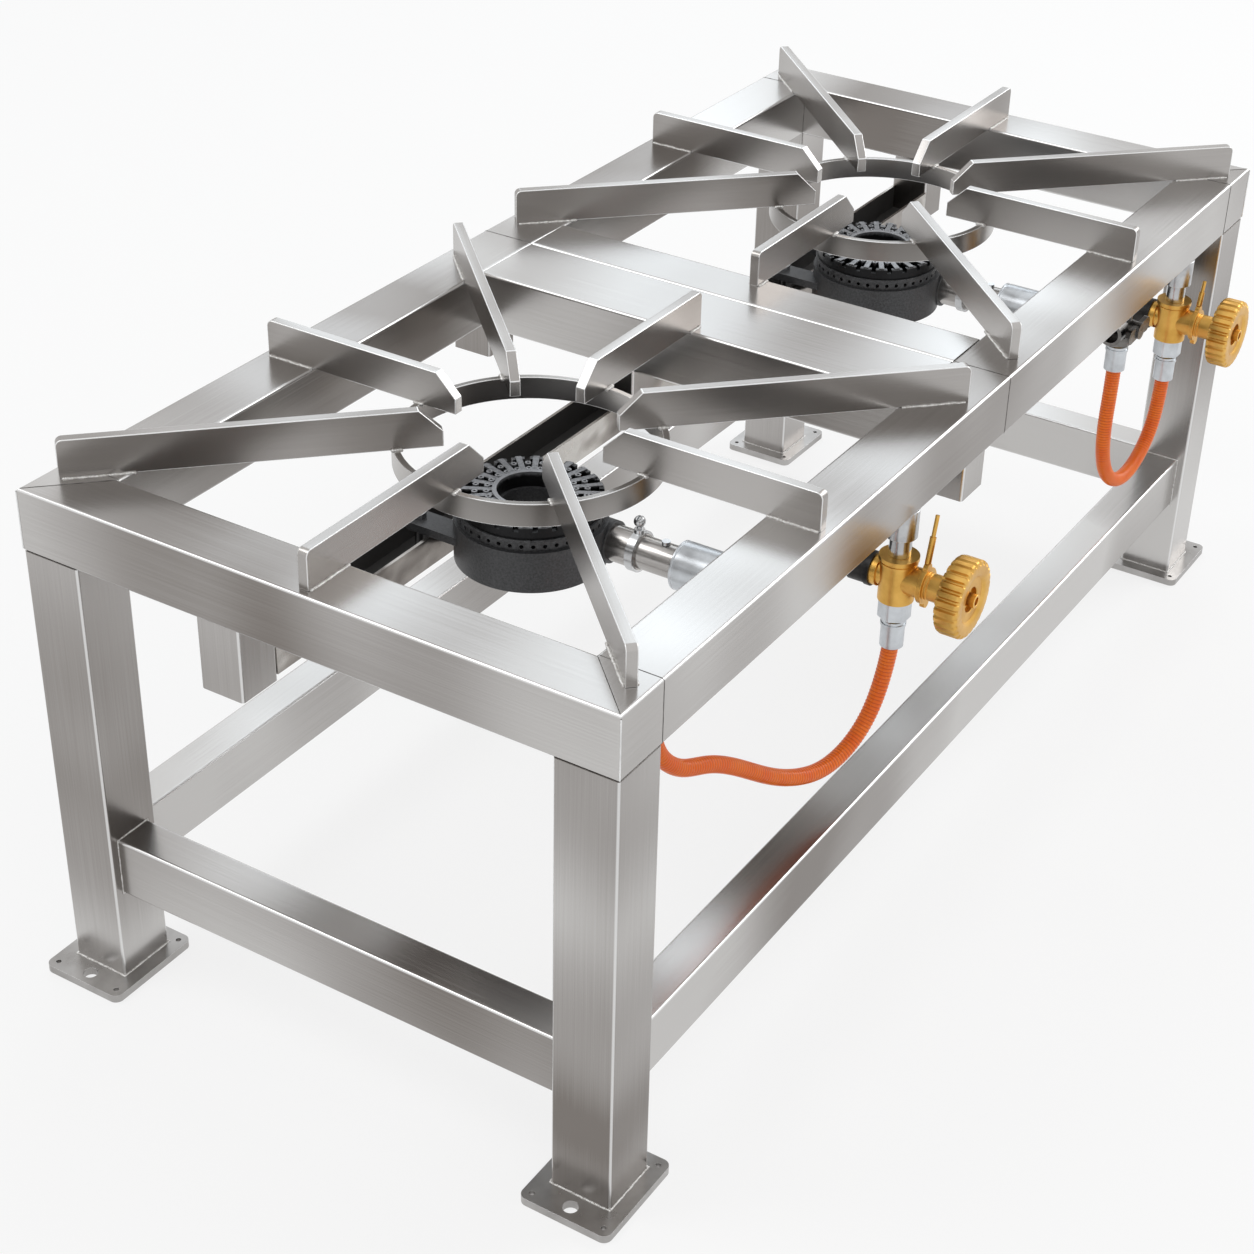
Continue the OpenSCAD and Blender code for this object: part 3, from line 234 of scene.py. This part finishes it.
for side, route in hose_routes.items():
    hose, centres, length = ribbed_hose(side + "_hose", [Vector(p) for p in route],
                                        hose_diameter, rib_pitch)
    hose.data.materials.append(hose_rubber)
    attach(hose, "stand")
    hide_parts(side + "_gas_hose")
    [tuple(p) for p in centres[::4]] + [route[-1]]


# The top frame, legs and stretchers are square stainless tube, brushed along its length, so the
# grain of each tube runs its own way. Broad soft patches are partly the rolling and the polish and
# partly painted reflection, and the rounded corners of the tube get a painted highlight.
def brushed_steel(name, along):
    dark, light, highlight_paint = (0.215, 0.195, 0.180), (0.560, 0.548, 0.536), (0.80, 0.80, 0.80)
    stretch = [1.0 if axis == along else 140.0 for axis in "xyz"]
    material, shader, place = finish(name, light, 0.24, 1.0)
    fine = place.clouds(5, 2, 0.6, stretch)
    broad = place.clouds(4.2, 1, 0.5, [1.0 if axis == along else 0.4 for axis in "xyz"])
    # Broad tone: partly polish, partly painted reflection, lighter and darker in patches.
    tone = broad * 2.2 + fine * 0.22 - 0.64
    face = Tone(place.tree, place.socket.node.outputs["Normal"])
    x2, y2, z2 = [part * part for part in (face.part(axis) for axis in range(3))]
    flat = face.maths("MAXIMUM", face.maths("MAXIMUM", x2, y2), z2)
    # Where the face rounds a corner, a painted highlight lightens the colour.
    corner = flat.node("MapRange", None, {0: flat, 1: 0.95, 2: 0.75})
    lay(shader, place, Roughness=fine * 0.08 + 0.21,
        Base_Color=(corner * 0.75).blend(tone.colours((0.15, dark), (0.85, light)), highlight_paint))
    return material


steel_x = brushed_steel("steel_along_x", "x")
steel_y = brushed_steel("steel_along_y", "y")
steel_z = brushed_steel("steel_along_z", "z")
dress(steel_x, "front_rail_near", "front_rail_far", "back_rail_near", "back_rail_far",
      "front_stretcher", "back_stretcher", "corner_returns", "cock_bracket")
dress(steel_y, "near_end_rail", "far_end_rail", "wide_cross_beam", "narrow_cross_beam",
      "end_stretchers")
dress(steel_z, "front_legs", "back_legs", "channel_posts", "centre_stubs")


# The foot plates are laser-cut plate with a satin face. Their edges are eased, as are those of
# every bar and casting: an edge past sharp_angle is eased, and a crease past crease_angle stays.
sharp_angle, crease_angle, flat_angle = math.radians(32), math.radians(38), math.radians(0.6)
merge_reach = 0.00001


def softened(name, node, width, material, body="stand"):
    """A copy of a CAD node with its sharp edges eased and marked for a painted highlight; it stands
    for the node.
    """
    bpy.ops.object.select_all(action="DESELECT")
    piece = bpy.data.objects.new(name, nodes[node].data.copy())
    bpy.context.scene.collection.objects.link(piece)
    piece.select_set(True)
    bpy.context.view_layer.objects.active = piece
    bpy.ops.object.mode_set(mode="EDIT")
    bpy.ops.mesh.select_all(action="SELECT")
    bpy.ops.mesh.remove_doubles(threshold=merge_reach)
    bpy.ops.mesh.dissolve_limited(angle_limit=flat_angle)
    bpy.ops.object.mode_set(mode="OBJECT")
    ease = piece.modifiers.new("ease", "BEVEL")
    ease.width, ease.segments, ease.limit_method = width, 2, "ANGLE"
    ease.angle_limit, ease.miter_outer = sharp_angle, "MITER_ARC"
    piece.data.materials.clear()
    for _ in range(2):
        piece.data.materials.append(material)
    ease.material = 1
    bpy.ops.object.modifier_apply(modifier="ease")
    bpy.ops.object.shade_smooth_by_angle(angle=crease_angle)
    level = piece.modifiers.new("level", "WEIGHTED_NORMAL")
    level.keep_sharp = True
    bpy.ops.object.modifier_apply(modifier="level")
    edge = piece.data.attributes.new("edge", "FLOAT", "FACE")
    edge.data.foreach_set("value", [float(f.material_index) for f in piece.data.polygons])
    piece.data.polygons.foreach_set("material_index", [0] * len(piece.data.polygons))
    piece.data.materials.pop(index=1)
    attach(piece, body)
    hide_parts(node)
    return piece


def edged(place, tone, highlight_paint, share=0.85):
    """The tone, with a share of the bright colour painted on as a highlight where an edge is eased.
    """
    return (place.attribute("edge", NUMBER) * share).blend(tone, highlight_paint)


# A pale grey that is painted along eased steel edges as a highlight.
highlight_steel_colour = (0.84, 0.84, 0.84)
plate_steel, shader, place = finish("plate_steel", (0.4, 0.39, 0.38), 0.35, 1.0)
mottle = place.clouds(14, 4, 0.6)
flats = mottle.colours((0.3, (0.30, 0.288, 0.278)), (0.7, (0.50, 0.49, 0.48)))
# The eased edges of the foot plates get a painted highlight.
lay(shader, place, Base_Color=edged(place, flats, highlight_steel_colour),
    Roughness=mottle * 0.2 + 0.2, relief=(place.clouds(240, 3), 0.00005, 0.08))
softened("anchor_plates", "foot_plates", 0.0009, plate_steel)


# The grate bars are flat bar on edge, with eased edges, and ground along their length. Each
# points to the middle of its burner, the grain follows it, and a corner bar points past_x and
# past_y past the corner of the opening.
cell_x, opening_x, opening_y = 0.3375, 0.2625, 0.240
past_x, past_y = 0.024, 0.046
corner_turn = math.degrees(math.atan2(opening_y + past_y, opening_x + past_x))
bar_turns = [0, corner_turn, 90, 180 - corner_turn, 180, 180 + corner_turn, 270,
             360 - corner_turn]

bar_steel, shader, place = finish("bar_steel", (0.4, 0.39, 0.38), 0.3, 1.0)
grain = place.attribute("grain", VECTOR)
streak = grain.clouds(12, 2, 0.6, (1, 80, 80))
broad = grain.clouds(5.0, 1, 0.5, (1, 0.4, 0.4))
flats = (broad * 1.9 + streak * 0.22 - 0.53).colours((0.15, (0.240, 0.222, 0.208)),
                                                     (0.85, (0.480, 0.464, 0.449)))
# The eased edges of the bars get a painted highlight.
lay(shader, place, Base_Color=edged(place, flats, highlight_steel_colour),
    Roughness=streak * 0.02 + 0.25)


def lay_grain(piece, middle_x, shift=0.013):
    """Writes the place of each point along, across and up its own bar, shifted for each turn."""
    grain = piece.data.attributes.new("grain", "FLOAT_VECTOR", "POINT")
    for i, vertex in enumerate(piece.data.vertices):
        x, y, z = vertex.co.x - middle_x, vertex.co.y, vertex.co.z
        turn = math.degrees(math.atan2(y, x)) % 360
        nearest = min(bar_turns, key=lambda t: abs((turn - t + 180) % 360 - 180))
        c, s = math.cos(math.radians(nearest)), math.sin(math.radians(nearest))
        grain.data[i].vector = (x * c + y * s + nearest * shift, y * c - x * s, z)


for side, middle_x in (("near", -cell_x), ("far", cell_x)):
    bars = softened(side + "_star_bars", side + "_grate_bars", 0.0008, bar_steel)
    lay_grain(bars, middle_x)


# The pan rings are flat bar rolled into a hoop on edge, with the grain round the hoop. Each
# hangs under the inner ends of its grate bars.
ring_steel, shader, place = finish("ring_steel", (0.4, 0.39, 0.38), 0.3, 1.0)
streak = place.clouds(30, 2, 0.6, (1, 1, 60))
broad = place.clouds(7, 1)
flats = (broad * 2.0 + streak * 0.06 - 0.50).colours((0.15, (0.155, 0.143, 0.133)),
                                                     (0.85, (0.460, 0.445, 0.430)))
# The eased edges of the rings get a painted highlight.
lay(shader, place, Base_Color=edged(place, flats, highlight_steel_colour),
    Roughness=streak * 0.03 + 0.25)
for side in ("near", "far"):
    softened(side + "_hoop", side + "_pan_ring", 0.0007, ring_steel)


# The tubes are butted and mitred, welded, and ground flush, which leaves a fine dark line round
# each joint of the top frame; up each mitred corner, which is dressed sharp, a thin bright line is
# painted as its highlight.
def joint_line(name, points, closed, radius=0.00035):
    """A thin round line through the points, as a curve."""
    curve = bpy.data.curves.new(name, "CURVE")
    curve.dimensions = "3D"
    curve.bevel_depth, curve.bevel_resolution = radius, 1
    spline = curve.splines.new("POLY")
    spline.points.add(len(points) - 1)
    for point, spot in zip(spline.points, points):
        point.co = (*spot, 1)
    spline.use_cyclic_u = closed
    line = bpy.data.objects.new(name, curve)
    bpy.context.scene.collection.objects.link(line)
    return line


def melt_together(name, parts, material):
    """Joins the parts into one piece of the stand at the origin, and gives it its material."""
    bpy.ops.object.select_all(action="DESELECT")
    for part in parts:
        part.select_set(True)
    bpy.context.view_layer.objects.active = parts[0]
    if any(part.type != "MESH" for part in parts):
        bpy.ops.object.convert(target="MESH")
    bpy.ops.object.join()
    piece = bpy.context.object
    piece.name = piece.data.name = name
    piece.data.materials.clear()
    piece.data.materials.append(material)
    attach(piece, "stand")


seam_steel, shader, place = finish("seam_steel", (0.15, 0.145, 0.14), 0.4, 1.0)
lay(shader, place, Base_Color=place.clouds(120, 3).colours((0.35, (0.060, 0.055, 0.052)),
                                                           (0.7, (0.22, 0.21, 0.20))))

frame_top, tube, tube_bend = 0.510, 0.060, 0.003
frame_x, frame_y, rail_joint_x = 0.660, 0.300, 0.015


def round_tube(x, side):
    """The outline of a long rail's section at x."""
    middle_y, middle_z = side * (frame_y - tube / 2), frame_top - tube / 2
    reach, points = tube / 2 - tube_bend, []
    for corner in range(4):
        for step in range(4):
            turn = math.radians(90 * corner + 30 * step)
            cy, cz = [(1, 1), (-1, 1), (-1, -1), (1, -1)][corner]
            points.append((x, middle_y + cy * reach + tube_bend * math.cos(turn),
                           middle_z + cz * reach + tube_bend * math.sin(turn)))
    return points


lines, corner_highlights = [], []
for sy in (-1, 1):
    for x in (-frame_x + tube, rail_joint_x, frame_x - tube):
        lines.append(joint_line("joint", round_tube(x, sy), True))
    for sx in (-1, 1):
        inset = tube_bend * 0.8
        outer = (sx * (frame_x - inset), sy * (frame_y - inset))
        inner = (sx * (frame_x - tube + inset), sy * (frame_y - tube + inset))
        for z in (frame_top, frame_top - tube):
            lines.append(joint_line("mitre", [(*outer, z), (*inner, z)], False))
        corner_highlights.append(joint_line("corner", [(sx * frame_x, sy * frame_y, z) for z in
                                             (frame_top - tube + inset, frame_top - inset)],
                                  False, 0.0007))
melt_together("frame_joint_lines", lines, seam_steel)

# The bright wire up each corner is a painted highlight, not a part of the tube.
corner_highlight_steel, shader, place = finish("corner_highlight_steel", highlight_steel_colour, 0.25, 1.0)
highlight_mottle = place.clouds(90, 2)
lay(shader, place, Base_Color=highlight_mottle.colours((0.3, (0.70, 0.70, 0.70)), (0.7, (0.90, 0.90, 0.90))),
    Roughness=highlight_mottle * 0.2 + 0.15)
melt_together("frame_corner_highlights", corner_highlights, corner_highlight_steel)


# The bars, feet and stretchers are fixed with short hand-laid weld beads, rippled and bright: the
# brightness is partly the metal and partly a painted highlight.
# The ripple is noise with a fixed seed, so the beads are the same in every run.
weld_seed = 7
noise.seed_set(weld_seed)


def weld_run(start, end, thick, fine=2):
    """A row of overlapping beads from start to end, a little flat and rippled."""
    start, end = Vector(start), Vector(end)
    length = (end - start).length
    pitch_share, long_share, high_share, ripple_share, ripple_scale = 1.1, 0.95, 0.8, 0.35, 210
    count = max(2, round(length / (thick * pitch_share)))
    bpy.ops.object.select_all(action="DESELECT")
    bpy.ops.mesh.primitive_ico_sphere_add(subdivisions=fine, radius=1)
    bead = bpy.context.object
    bead.scale = (thick * long_share, thick, thick * high_share)
    bpy.ops.object.transform_apply(location=False, rotation=False, scale=True)
    row = bead.modifiers.new("row", "ARRAY")
    row.use_relative_offset, row.use_constant_offset = False, True
    row.constant_offset_displace = (length / count, 0, 0)
    row.count = count + 1
    bpy.ops.object.modifier_apply(modifier="row")
    along = (end - start).normalized()
    bead.data.transform(Matrix.Translation(start)
                        @ along.to_track_quat("X", "Z").to_matrix().to_4x4())
    for vertex in bead.data.vertices:
        vertex.co += noise.noise_vector(vertex.co * ripple_scale) * thick * ripple_share
    bead.data.shade_smooth()
    return bead


# The pale mottled tone of the beads is partly bright metal and partly a painted glare highlight.
weld_steel, shader, place = finish("weld_steel", (0.7, 0.7, 0.69), 0.3, 1.0)
glint = place.clouds(600, 3)
lay(shader, place, Base_Color=glint.colours((0.3, (0.40, 0.38, 0.36)), (0.7, (0.82, 0.82, 0.81))),
    Roughness=glint * 0.3 + 0.18)

bar_half, ring_in, ring_out = 0.005, 0.1165, 0.1225
end_stop, beam_stop, rail_stop, corner_reach = 0.3145, 0.2825, 0.292, 0.064
bead_off, ring_bead, rail_bead = 0.0004, 0.0022, 0.0016
corner_in = opening_y / math.sin(math.radians(corner_turn))
runs = []
for sx in (-1, 1):
    straight = [(0 if sx > 0 else 180, opening_x, end_stop),
                (180 if sx > 0 else 0, opening_x, beam_stop),
                (90, opening_y, rail_stop), (270, opening_y, rail_stop)]
    slanted = [(turn, corner_in, corner_in + corner_reach) for turn in bar_turns[1::2]]
    for turn, inner, outer in straight + slanted:
        along = Vector((math.cos(math.radians(turn)), math.sin(math.radians(turn)), 0))
        across = Vector((-along.y, along.x, 0))
        middle = Vector((sx * cell_x, 0, frame_top))
        for edge in (-1, 1):
            foot = middle + across * edge * (bar_half + bead_off)
            for first, last, bead in ((ring_in - 0.001, ring_out, ring_bead),
                                      (inner + 0.002, outer - 0.003, rail_bead)):
                runs.append(weld_run(foot + along * first, foot + along * last, bead))
melt_together("bar_welds", runs, weld_steel)

leg_x, leg_y, leg_half, plate_top = 0.630, 0.270, 0.030, 0.008
end_y, end_half, low, high = 0.240, 0.020, 0.100, 0.160
foot_bead, stretcher_bead = 0.0016, 0.0011
runs = []
for sx in (-1, 1):
    for sy in (-1, 1):
        square = [Vector((sx * leg_x + a * leg_half, sy * leg_y + b * leg_half, plate_top))
                  for a, b in ((-1, -1), (1, -1), (1, 1), (-1, 1))]
        for a, b in zip(square, square[1:] + square[:1]):
            runs.append(weld_run(a, b, foot_bead, 1))
        for a, b in (((-1, high), (1, high)), ((1, high), (1, low)), ((1, low), (-1, low)),
                     ((-1, low), (-1, high))):
            across = [(sx * leg_x + k * end_half, sy * end_y, z) for k, z in (a, b)]
            inward = [(sx * (leg_x - leg_half), sy * leg_y + k * end_half, z) for k, z in (a, b)]
            runs.append(weld_run(*across, stretcher_bead, 1))
            runs.append(weld_run(*inward, stretcher_bead, 1))
melt_together("stand_welds", runs, weld_steel)


# The channel is folded stainless sheet: buckled and bright outside, and near black, duller and
# less metallic inside, between its walls below the rim.
channel_steel, shader, place = finish("channel_steel", (0.4, 0.39, 0.38), 0.24, 1.0)
buckle = place.clouds(16, 2, 0.5, (1, 0.4, 1.4))
depth, height = place.part(1), place.part(2)
front_wall, back_wall, web_top, rim = 0.0735, 0.1155, 0.3815, 0.4098
inside = (depth.maths("GREATER_THAN", depth, front_wall) * depth.maths("LESS_THAN", depth, back_wall)
          * height.maths("GREATER_THAN", height, web_top) * height.maths("LESS_THAN", height, rim))
sheet = buckle.colours((0.34, (0.20, 0.18, 0.165)), (0.52, (0.36, 0.335, 0.31)),
                       (0.64, (0.60, 0.58, 0.55)))
lay(shader, place, Roughness=buckle * 0.2 + inside * 0.25 + 0.12, relief=(buckle, 0.004, 0.5),
    Metallic=1 - inside * 0.7, Base_Color=inside.blend(sheet, (0.085, 0.082, 0.080)))
dress(channel_steel, "burner_channel")


# The burners are grey cast iron with a dark stove finish. The bowl and the ring of side ports
# keep their sand-cast skin, with a bright line painted along their eased edges as a highlight.
def cast_iron(name, dark, light, grain, relief=0.0006):
    material, shader, place = finish(name, dark, 0.5, 0.35)
    skin = place.clouds(grain, 4, 0.6)
    body = skin.colours((0.3, dark), (0.75, light))
    # The eased edges get a painted highlight, paler where the skin is lighter.
    lay(shader, place, Base_Color=edged(place, body, (0.42, 0.425, 0.435), skin + 0.25),
        Roughness=skin * 0.3 + 0.26, relief=(skin, relief, 0.4))
    return material


bowl_iron = cast_iron("bowl_iron", (0.036, 0.037, 0.039), (0.095, 0.096, 0.100), 520)
port_iron = cast_iron("port_iron", (0.022, 0.022, 0.023), (0.105, 0.107, 0.112), 300, 0.0012)
for side in ("near", "far"):
    softened(side + "_bowl", side + "_burner_bowl", 0.0012, bowl_iron)
    softened(side + "_ports", side + "_port_ring", 0.0005, port_iron)


# The cap is cast with a rim round the eye, ribs and hollow port stubs. Its high places are grey,
# partly worn metal and partly painted highlight; the low places stay black, and the eased edges
# get a brighter painted highlight.
cap_iron, shader, place = finish("cap_iron", (0.05, 0.05, 0.055), 0.4, 0.75)
skin = place.clouds(330, 4, 0.6)
height, black_up_to, grey_from = place.part(2), 0.4548, 0.4592
# Higher places are painted greyer: partly wear, partly a painted highlight.
wear_and_highlight = height.node("MapRange", None, {0: height + skin * 0.004, 1: black_up_to, 2: grey_from})
casting = wear_and_highlight.colours((0.10, (0.014, 0.014, 0.015)), (0.45, (0.11, 0.112, 0.117)),
                       (0.80, (0.31, 0.315, 0.33)))
lay(shader, place, Base_Color=edged(place, casting, (0.80, 0.81, 0.83), wear_and_highlight * 0.9),
    Roughness=skin * 0.25 + 0.24, relief=(skin, 0.0007, 0.45))
for side in ("near", "far"):
    softened(side + "_cap_casting", side + "_burner_cap", 0.0005, cap_iron,
             side + "_cap")


# The mixing tubes are polished, and a zinc-plated air shutter slides on each. The screws, the
# clamp rings, the valve sockets and the bolts are bright plated, and the feed pipes black iron.
def turned_metal(name, dark, light, rough, scale=40.0, stretch=(1, 1, 1)):
    material, shader, place = finish(name, light, rough, 1.0)
    tone = place.clouds(scale, 3, 0.6, stretch)
    # Eased edges get a painted highlight, paler than the light tone.
    highlight_paint = [min(1, 1.25 * share) for share in light]
    lay(shader, place, Base_Color=edged(place, tone.colours((0.3, dark), (0.7, light)), highlight_paint, 0.7),
        Roughness=tone * 0.12 + (rough - 0.06), relief=(place.clouds(700, 2), 0.00004, 0.06))
    return material


tube_steel = turned_metal("tube_steel", (0.27, 0.255, 0.243), (0.50, 0.485, 0.470), 0.24, 22,
                          (6, 0.6, 6))
for side in ("near", "far"):
    softened(side + "_burner_tube", side + "_mixing_tube", 0.0005, tube_steel)
plated_steel = turned_metal("plated_steel", (0.38, 0.38, 0.385), (0.60, 0.61, 0.62), 0.22)
dress(plated_steel, "tube_screws")
zinc_plate = turned_metal("zinc_plate", (0.50, 0.52, 0.54), (0.66, 0.69, 0.72), 0.34, 60)
for name, node, slot, material in (
        ("clamp_rings", "tube_clamps", "plated_steel", plated_steel),
        ("sockets", "valve_sockets", "plated_steel", plated_steel),
        ("bolts", "burner_bolts", "plated_steel", plated_steel),
        ("union_nuts", "hose_nuts", "zinc_plate", zinc_plate)):
    softened(name, node, 0.0006, material)
dress(zinc_plate, "hose_ferrules")
for side in ("near", "far"):
    softened(side + "_shutter_sleeve", side + "_air_shutter", 0.0008, zinc_plate,
             side + "_shutter")
pipe_iron = turned_metal("pipe_iron", (0.020, 0.020, 0.020), (0.060, 0.058, 0.056), 0.42, 90)
softened("feed_fittings", "feed_pipes", 0.0010, pipe_iron)


# The valves are cast and turned brass with a satin gold face. Each has a bonnet with a lock pin
# beside it, a spindle with its plug, and a dome nut that holds the hand wheel.
valve_brass = turned_metal("valve_brass", (0.62, 0.345, 0.075), (0.80, 0.48, 0.125), 0.36, 50)
dress(valve_brass, "near_valve_spindle", "far_valve_spindle", "near_valve_plug",
      "far_valve_plug", "lock_pins", "hose_tails", "gas_jets")
softened("bonnets", "valve_bonnets", 0.0005, valve_brass)
for side in ("near", "far"):
    softened(side + "_valve_casting", side + "_valve_body", 0.0006, valve_brass)
    softened(side + "_dome_nut", side + "_wheel_nut", 0.0005, valve_brass,
             side + "_wheel")


# Each hand wheel is one brass casting, turned on its rim and its dished face, with round-bottomed
# flutes cut across the rim for grip. It sits on the square of the spindle under the dome nut.
wheel_brass = turned_metal("wheel_brass", (0.62, 0.345, 0.078), (0.80, 0.49, 0.135), 0.38, 45)


def fluted_wheel(name, node, body):
    """A wheel in the box of its node, spun from the outline of its half section and fluted."""
    low, high = [Vector(corner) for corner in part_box(node)]
    middle_x, middle_z = (low.x + high.x) / 2, (low.z + high.z) / 2
    boss_r, boss_h, seat_r, seat_depth = 0.015, 0.003, 0.012, 0.009
    dish_r, dish_depth, dish_slope, ease, turned = 0.025, 0.0025, 0.0037, 0.0008, 0.0035
    front, back, rim = low.y, high.y - boss_h, (high.x - low.x) / 2
    outline = [(0, front + seat_depth), (seat_r - ease, front + seat_depth),
               (seat_r, front + seat_depth - ease), (seat_r, front + dish_depth + ease * 0.75),
               (seat_r + ease, front + dish_depth), (dish_r - dish_slope, front + dish_depth),
               (dish_r - ease * 1.25, front + ease / 2), (dish_r, front), (rim * 0.90, front),
               (rim * 0.96, front + ease), (rim * 0.99, front + ease * 2.5), (rim, front + turned),
               (rim, back - turned), (rim * 0.98, back - ease * 1.5), (rim * 0.94, back),
               (boss_r, back), (boss_r, high.y), (0, high.y)]
    mesh = bpy.data.meshes.new(name)
    mesh.from_pydata([(middle_x + r, y, middle_z) for r, y in outline],
                     [(k, k + 1) for k in range(len(outline) - 1)], [])
    wheel = bpy.data.objects.new(name, mesh)
    bpy.context.scene.collection.objects.link(wheel)
    bpy.ops.object.select_all(action="DESELECT")
    wheel.select_set(True)
    bpy.context.view_layer.objects.active = wheel
    bpy.ops.object.mode_set(mode="EDIT")
    bpy.ops.mesh.select_all(action="SELECT")
    flutes, flute_steps, flute_crease = 26, 12, math.radians(34)
    bpy.ops.mesh.spin(steps=flutes * flute_steps, angle=2 * math.pi, center=(middle_x, 0, middle_z),
                      axis=(0, 1, 0))
    bpy.ops.mesh.select_all(action="SELECT")
    bpy.ops.mesh.remove_doubles(threshold=merge_reach)
    bpy.ops.mesh.normals_make_consistent(inside=False)
    bpy.ops.object.mode_set(mode="OBJECT")
    flute_depth, flute_share, fluted_from, full_after = 0.0027, 0.44, 0.88, 0.08
    for vertex in mesh.vertices:
        x, z = vertex.co.x - middle_x, vertex.co.z - middle_z
        r, turn = math.hypot(x, z), math.atan2(z, x) / (2 * math.pi) * flutes % 1
        if r > rim * fluted_from:
            across = min(1, abs(turn - 0.5) * 2 / flute_share)
            dip = flute_depth * math.sqrt(1 - across * across)
            dip *= min(1, (r / rim - fluted_from) / full_after)
            vertex.co.x -= x / r * dip
            vertex.co.z -= z / r * dip
    bpy.ops.object.shade_smooth_by_angle(angle=flute_crease)
    mesh.materials.append(wheel_brass)
    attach(wheel, body)
    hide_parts(node)


for side in ("near", "far"):
    fluted_wheel(side + "_wheel_casting", side + "_hand_wheel", side + "_wheel")


# The hand cocks are dark nickel-plated castings, one at the end of each hose, with a wing lever
# that turns on its stem.
cock_metal = turned_metal("cock_metal", (0.10, 0.095, 0.09), (0.24, 0.23, 0.22), 0.28, 70)
softened("cock_castings", "cock_bodies", 0.0008, cock_metal)
for side in ("near", "far"):
    softened(side + "_wing_lever", side + "_cock_wing", 0.0008, cock_metal,
             side + "_wing")


# The studio: a pale floor that keeps the stove's shadow, an even white sky, three tall soft lamps
# behind the stove, whose reflections lie in patches along the top of the steel, and a broad lamp
# off each end, which light the edges.
def seen_share(tree):
    """1 where the camera or a mirrored or refracted ray looks, and 0 for other light."""
    rays = tree.nodes.new("ShaderNodeLightPath")
    seen = Tone(tree, rays.outputs["Is Camera Ray"])
    for ray in ("Is Glossy Ray", "Is Transmission Ray"):
        seen = seen.maths("MAXIMUM", seen, Tone(tree, rays.outputs[ray]))
    return seen


floor_size, floor_drop, paper_share = 60, 0.0005, 0.78
bpy.ops.object.select_all(action="DESELECT")
bpy.ops.mesh.primitive_plane_add(size=floor_size, location=(0, 0, -floor_drop))
floor = bpy.context.object
floor.name = "floor"
floor_paint, shader, place = finish("floor_paint", (0.92, 0.92, 0.92), 0.9, 0.0,
                                    Specular_IOR_Level=0.0)
tree = floor_paint.node_tree
paper = tree.nodes.new("ShaderNodeEmission")
mixed = tree.nodes.new("ShaderNodeMixShader")
tree.links.new((seen_share(tree) * paper_share).socket, mixed.inputs[0])
tree.links.new(shader.outputs[0], mixed.inputs[1])
tree.links.new(paper.outputs[0], mixed.inputs[2])
surface = next(n for n in tree.nodes if n.type == "OUTPUT_MATERIAL")
tree.links.new(mixed.outputs[0], surface.inputs["Surface"])
floor.data.materials.append(floor_paint)

world = bpy.data.worlds.new("studio")
bpy.context.scene.world = world
world.use_nodes = True
sky = next(n for n in world.node_tree.nodes if n.type == "BACKGROUND")
sky.inputs["Color"].default_value = (1, 1, 1, 1)
sky_light, sky_seen = 0.64, 1.0
strength = seen_share(world.node_tree) * (sky_seen - sky_light) + sky_light
world.node_tree.links.new(strength.socket, sky.inputs["Strength"])


def soft_lamp(name, spot, target, size, power, colour=(1, 1, 1)):
    """A rectangular lamp at spot that shines on target."""
    lamp = bpy.data.objects.new(name, bpy.data.lights.new(name, "AREA"))
    lamp.data.shape = "RECTANGLE"
    lamp.data.size, lamp.data.size_y = size
    lamp.data.energy, lamp.data.color = power, colour
    lamp.location = spot
    lamp.rotation_euler = (Vector(target) - Vector(spot)).to_track_quat("-Z", "Y").to_euler()
    bpy.context.scene.collection.objects.link(lamp)


strip_rise, strip_distance, strip_size, cool_white = 0.50, 4.6, (0.46, 2.4), (0.80, 0.91, 1.0)
strip_from, strip_target = Vector((-1.0, -0.5, 0.45)), (-1.0, -0.5, 0.5)
for name, turn in (("left_strip", 41), ("middle_strip", 30), ("right_strip", 21)):
    toward = Vector((math.cos(math.radians(turn)), math.sin(math.radians(turn)), strip_rise))
    soft_lamp(name, strip_from + toward * strip_distance, strip_target, strip_size, 5.0, cool_white)
soft_lamp("front_edge_lamp", (3.2, -1.7, 2.4), (0, 0, frame_top), (2.0, 2.0), 46)
soft_lamp("end_edge_lamp", (-1.8, 1.9, 3.8), (0, 0, frame_top), (1.6, 1.6), 26)
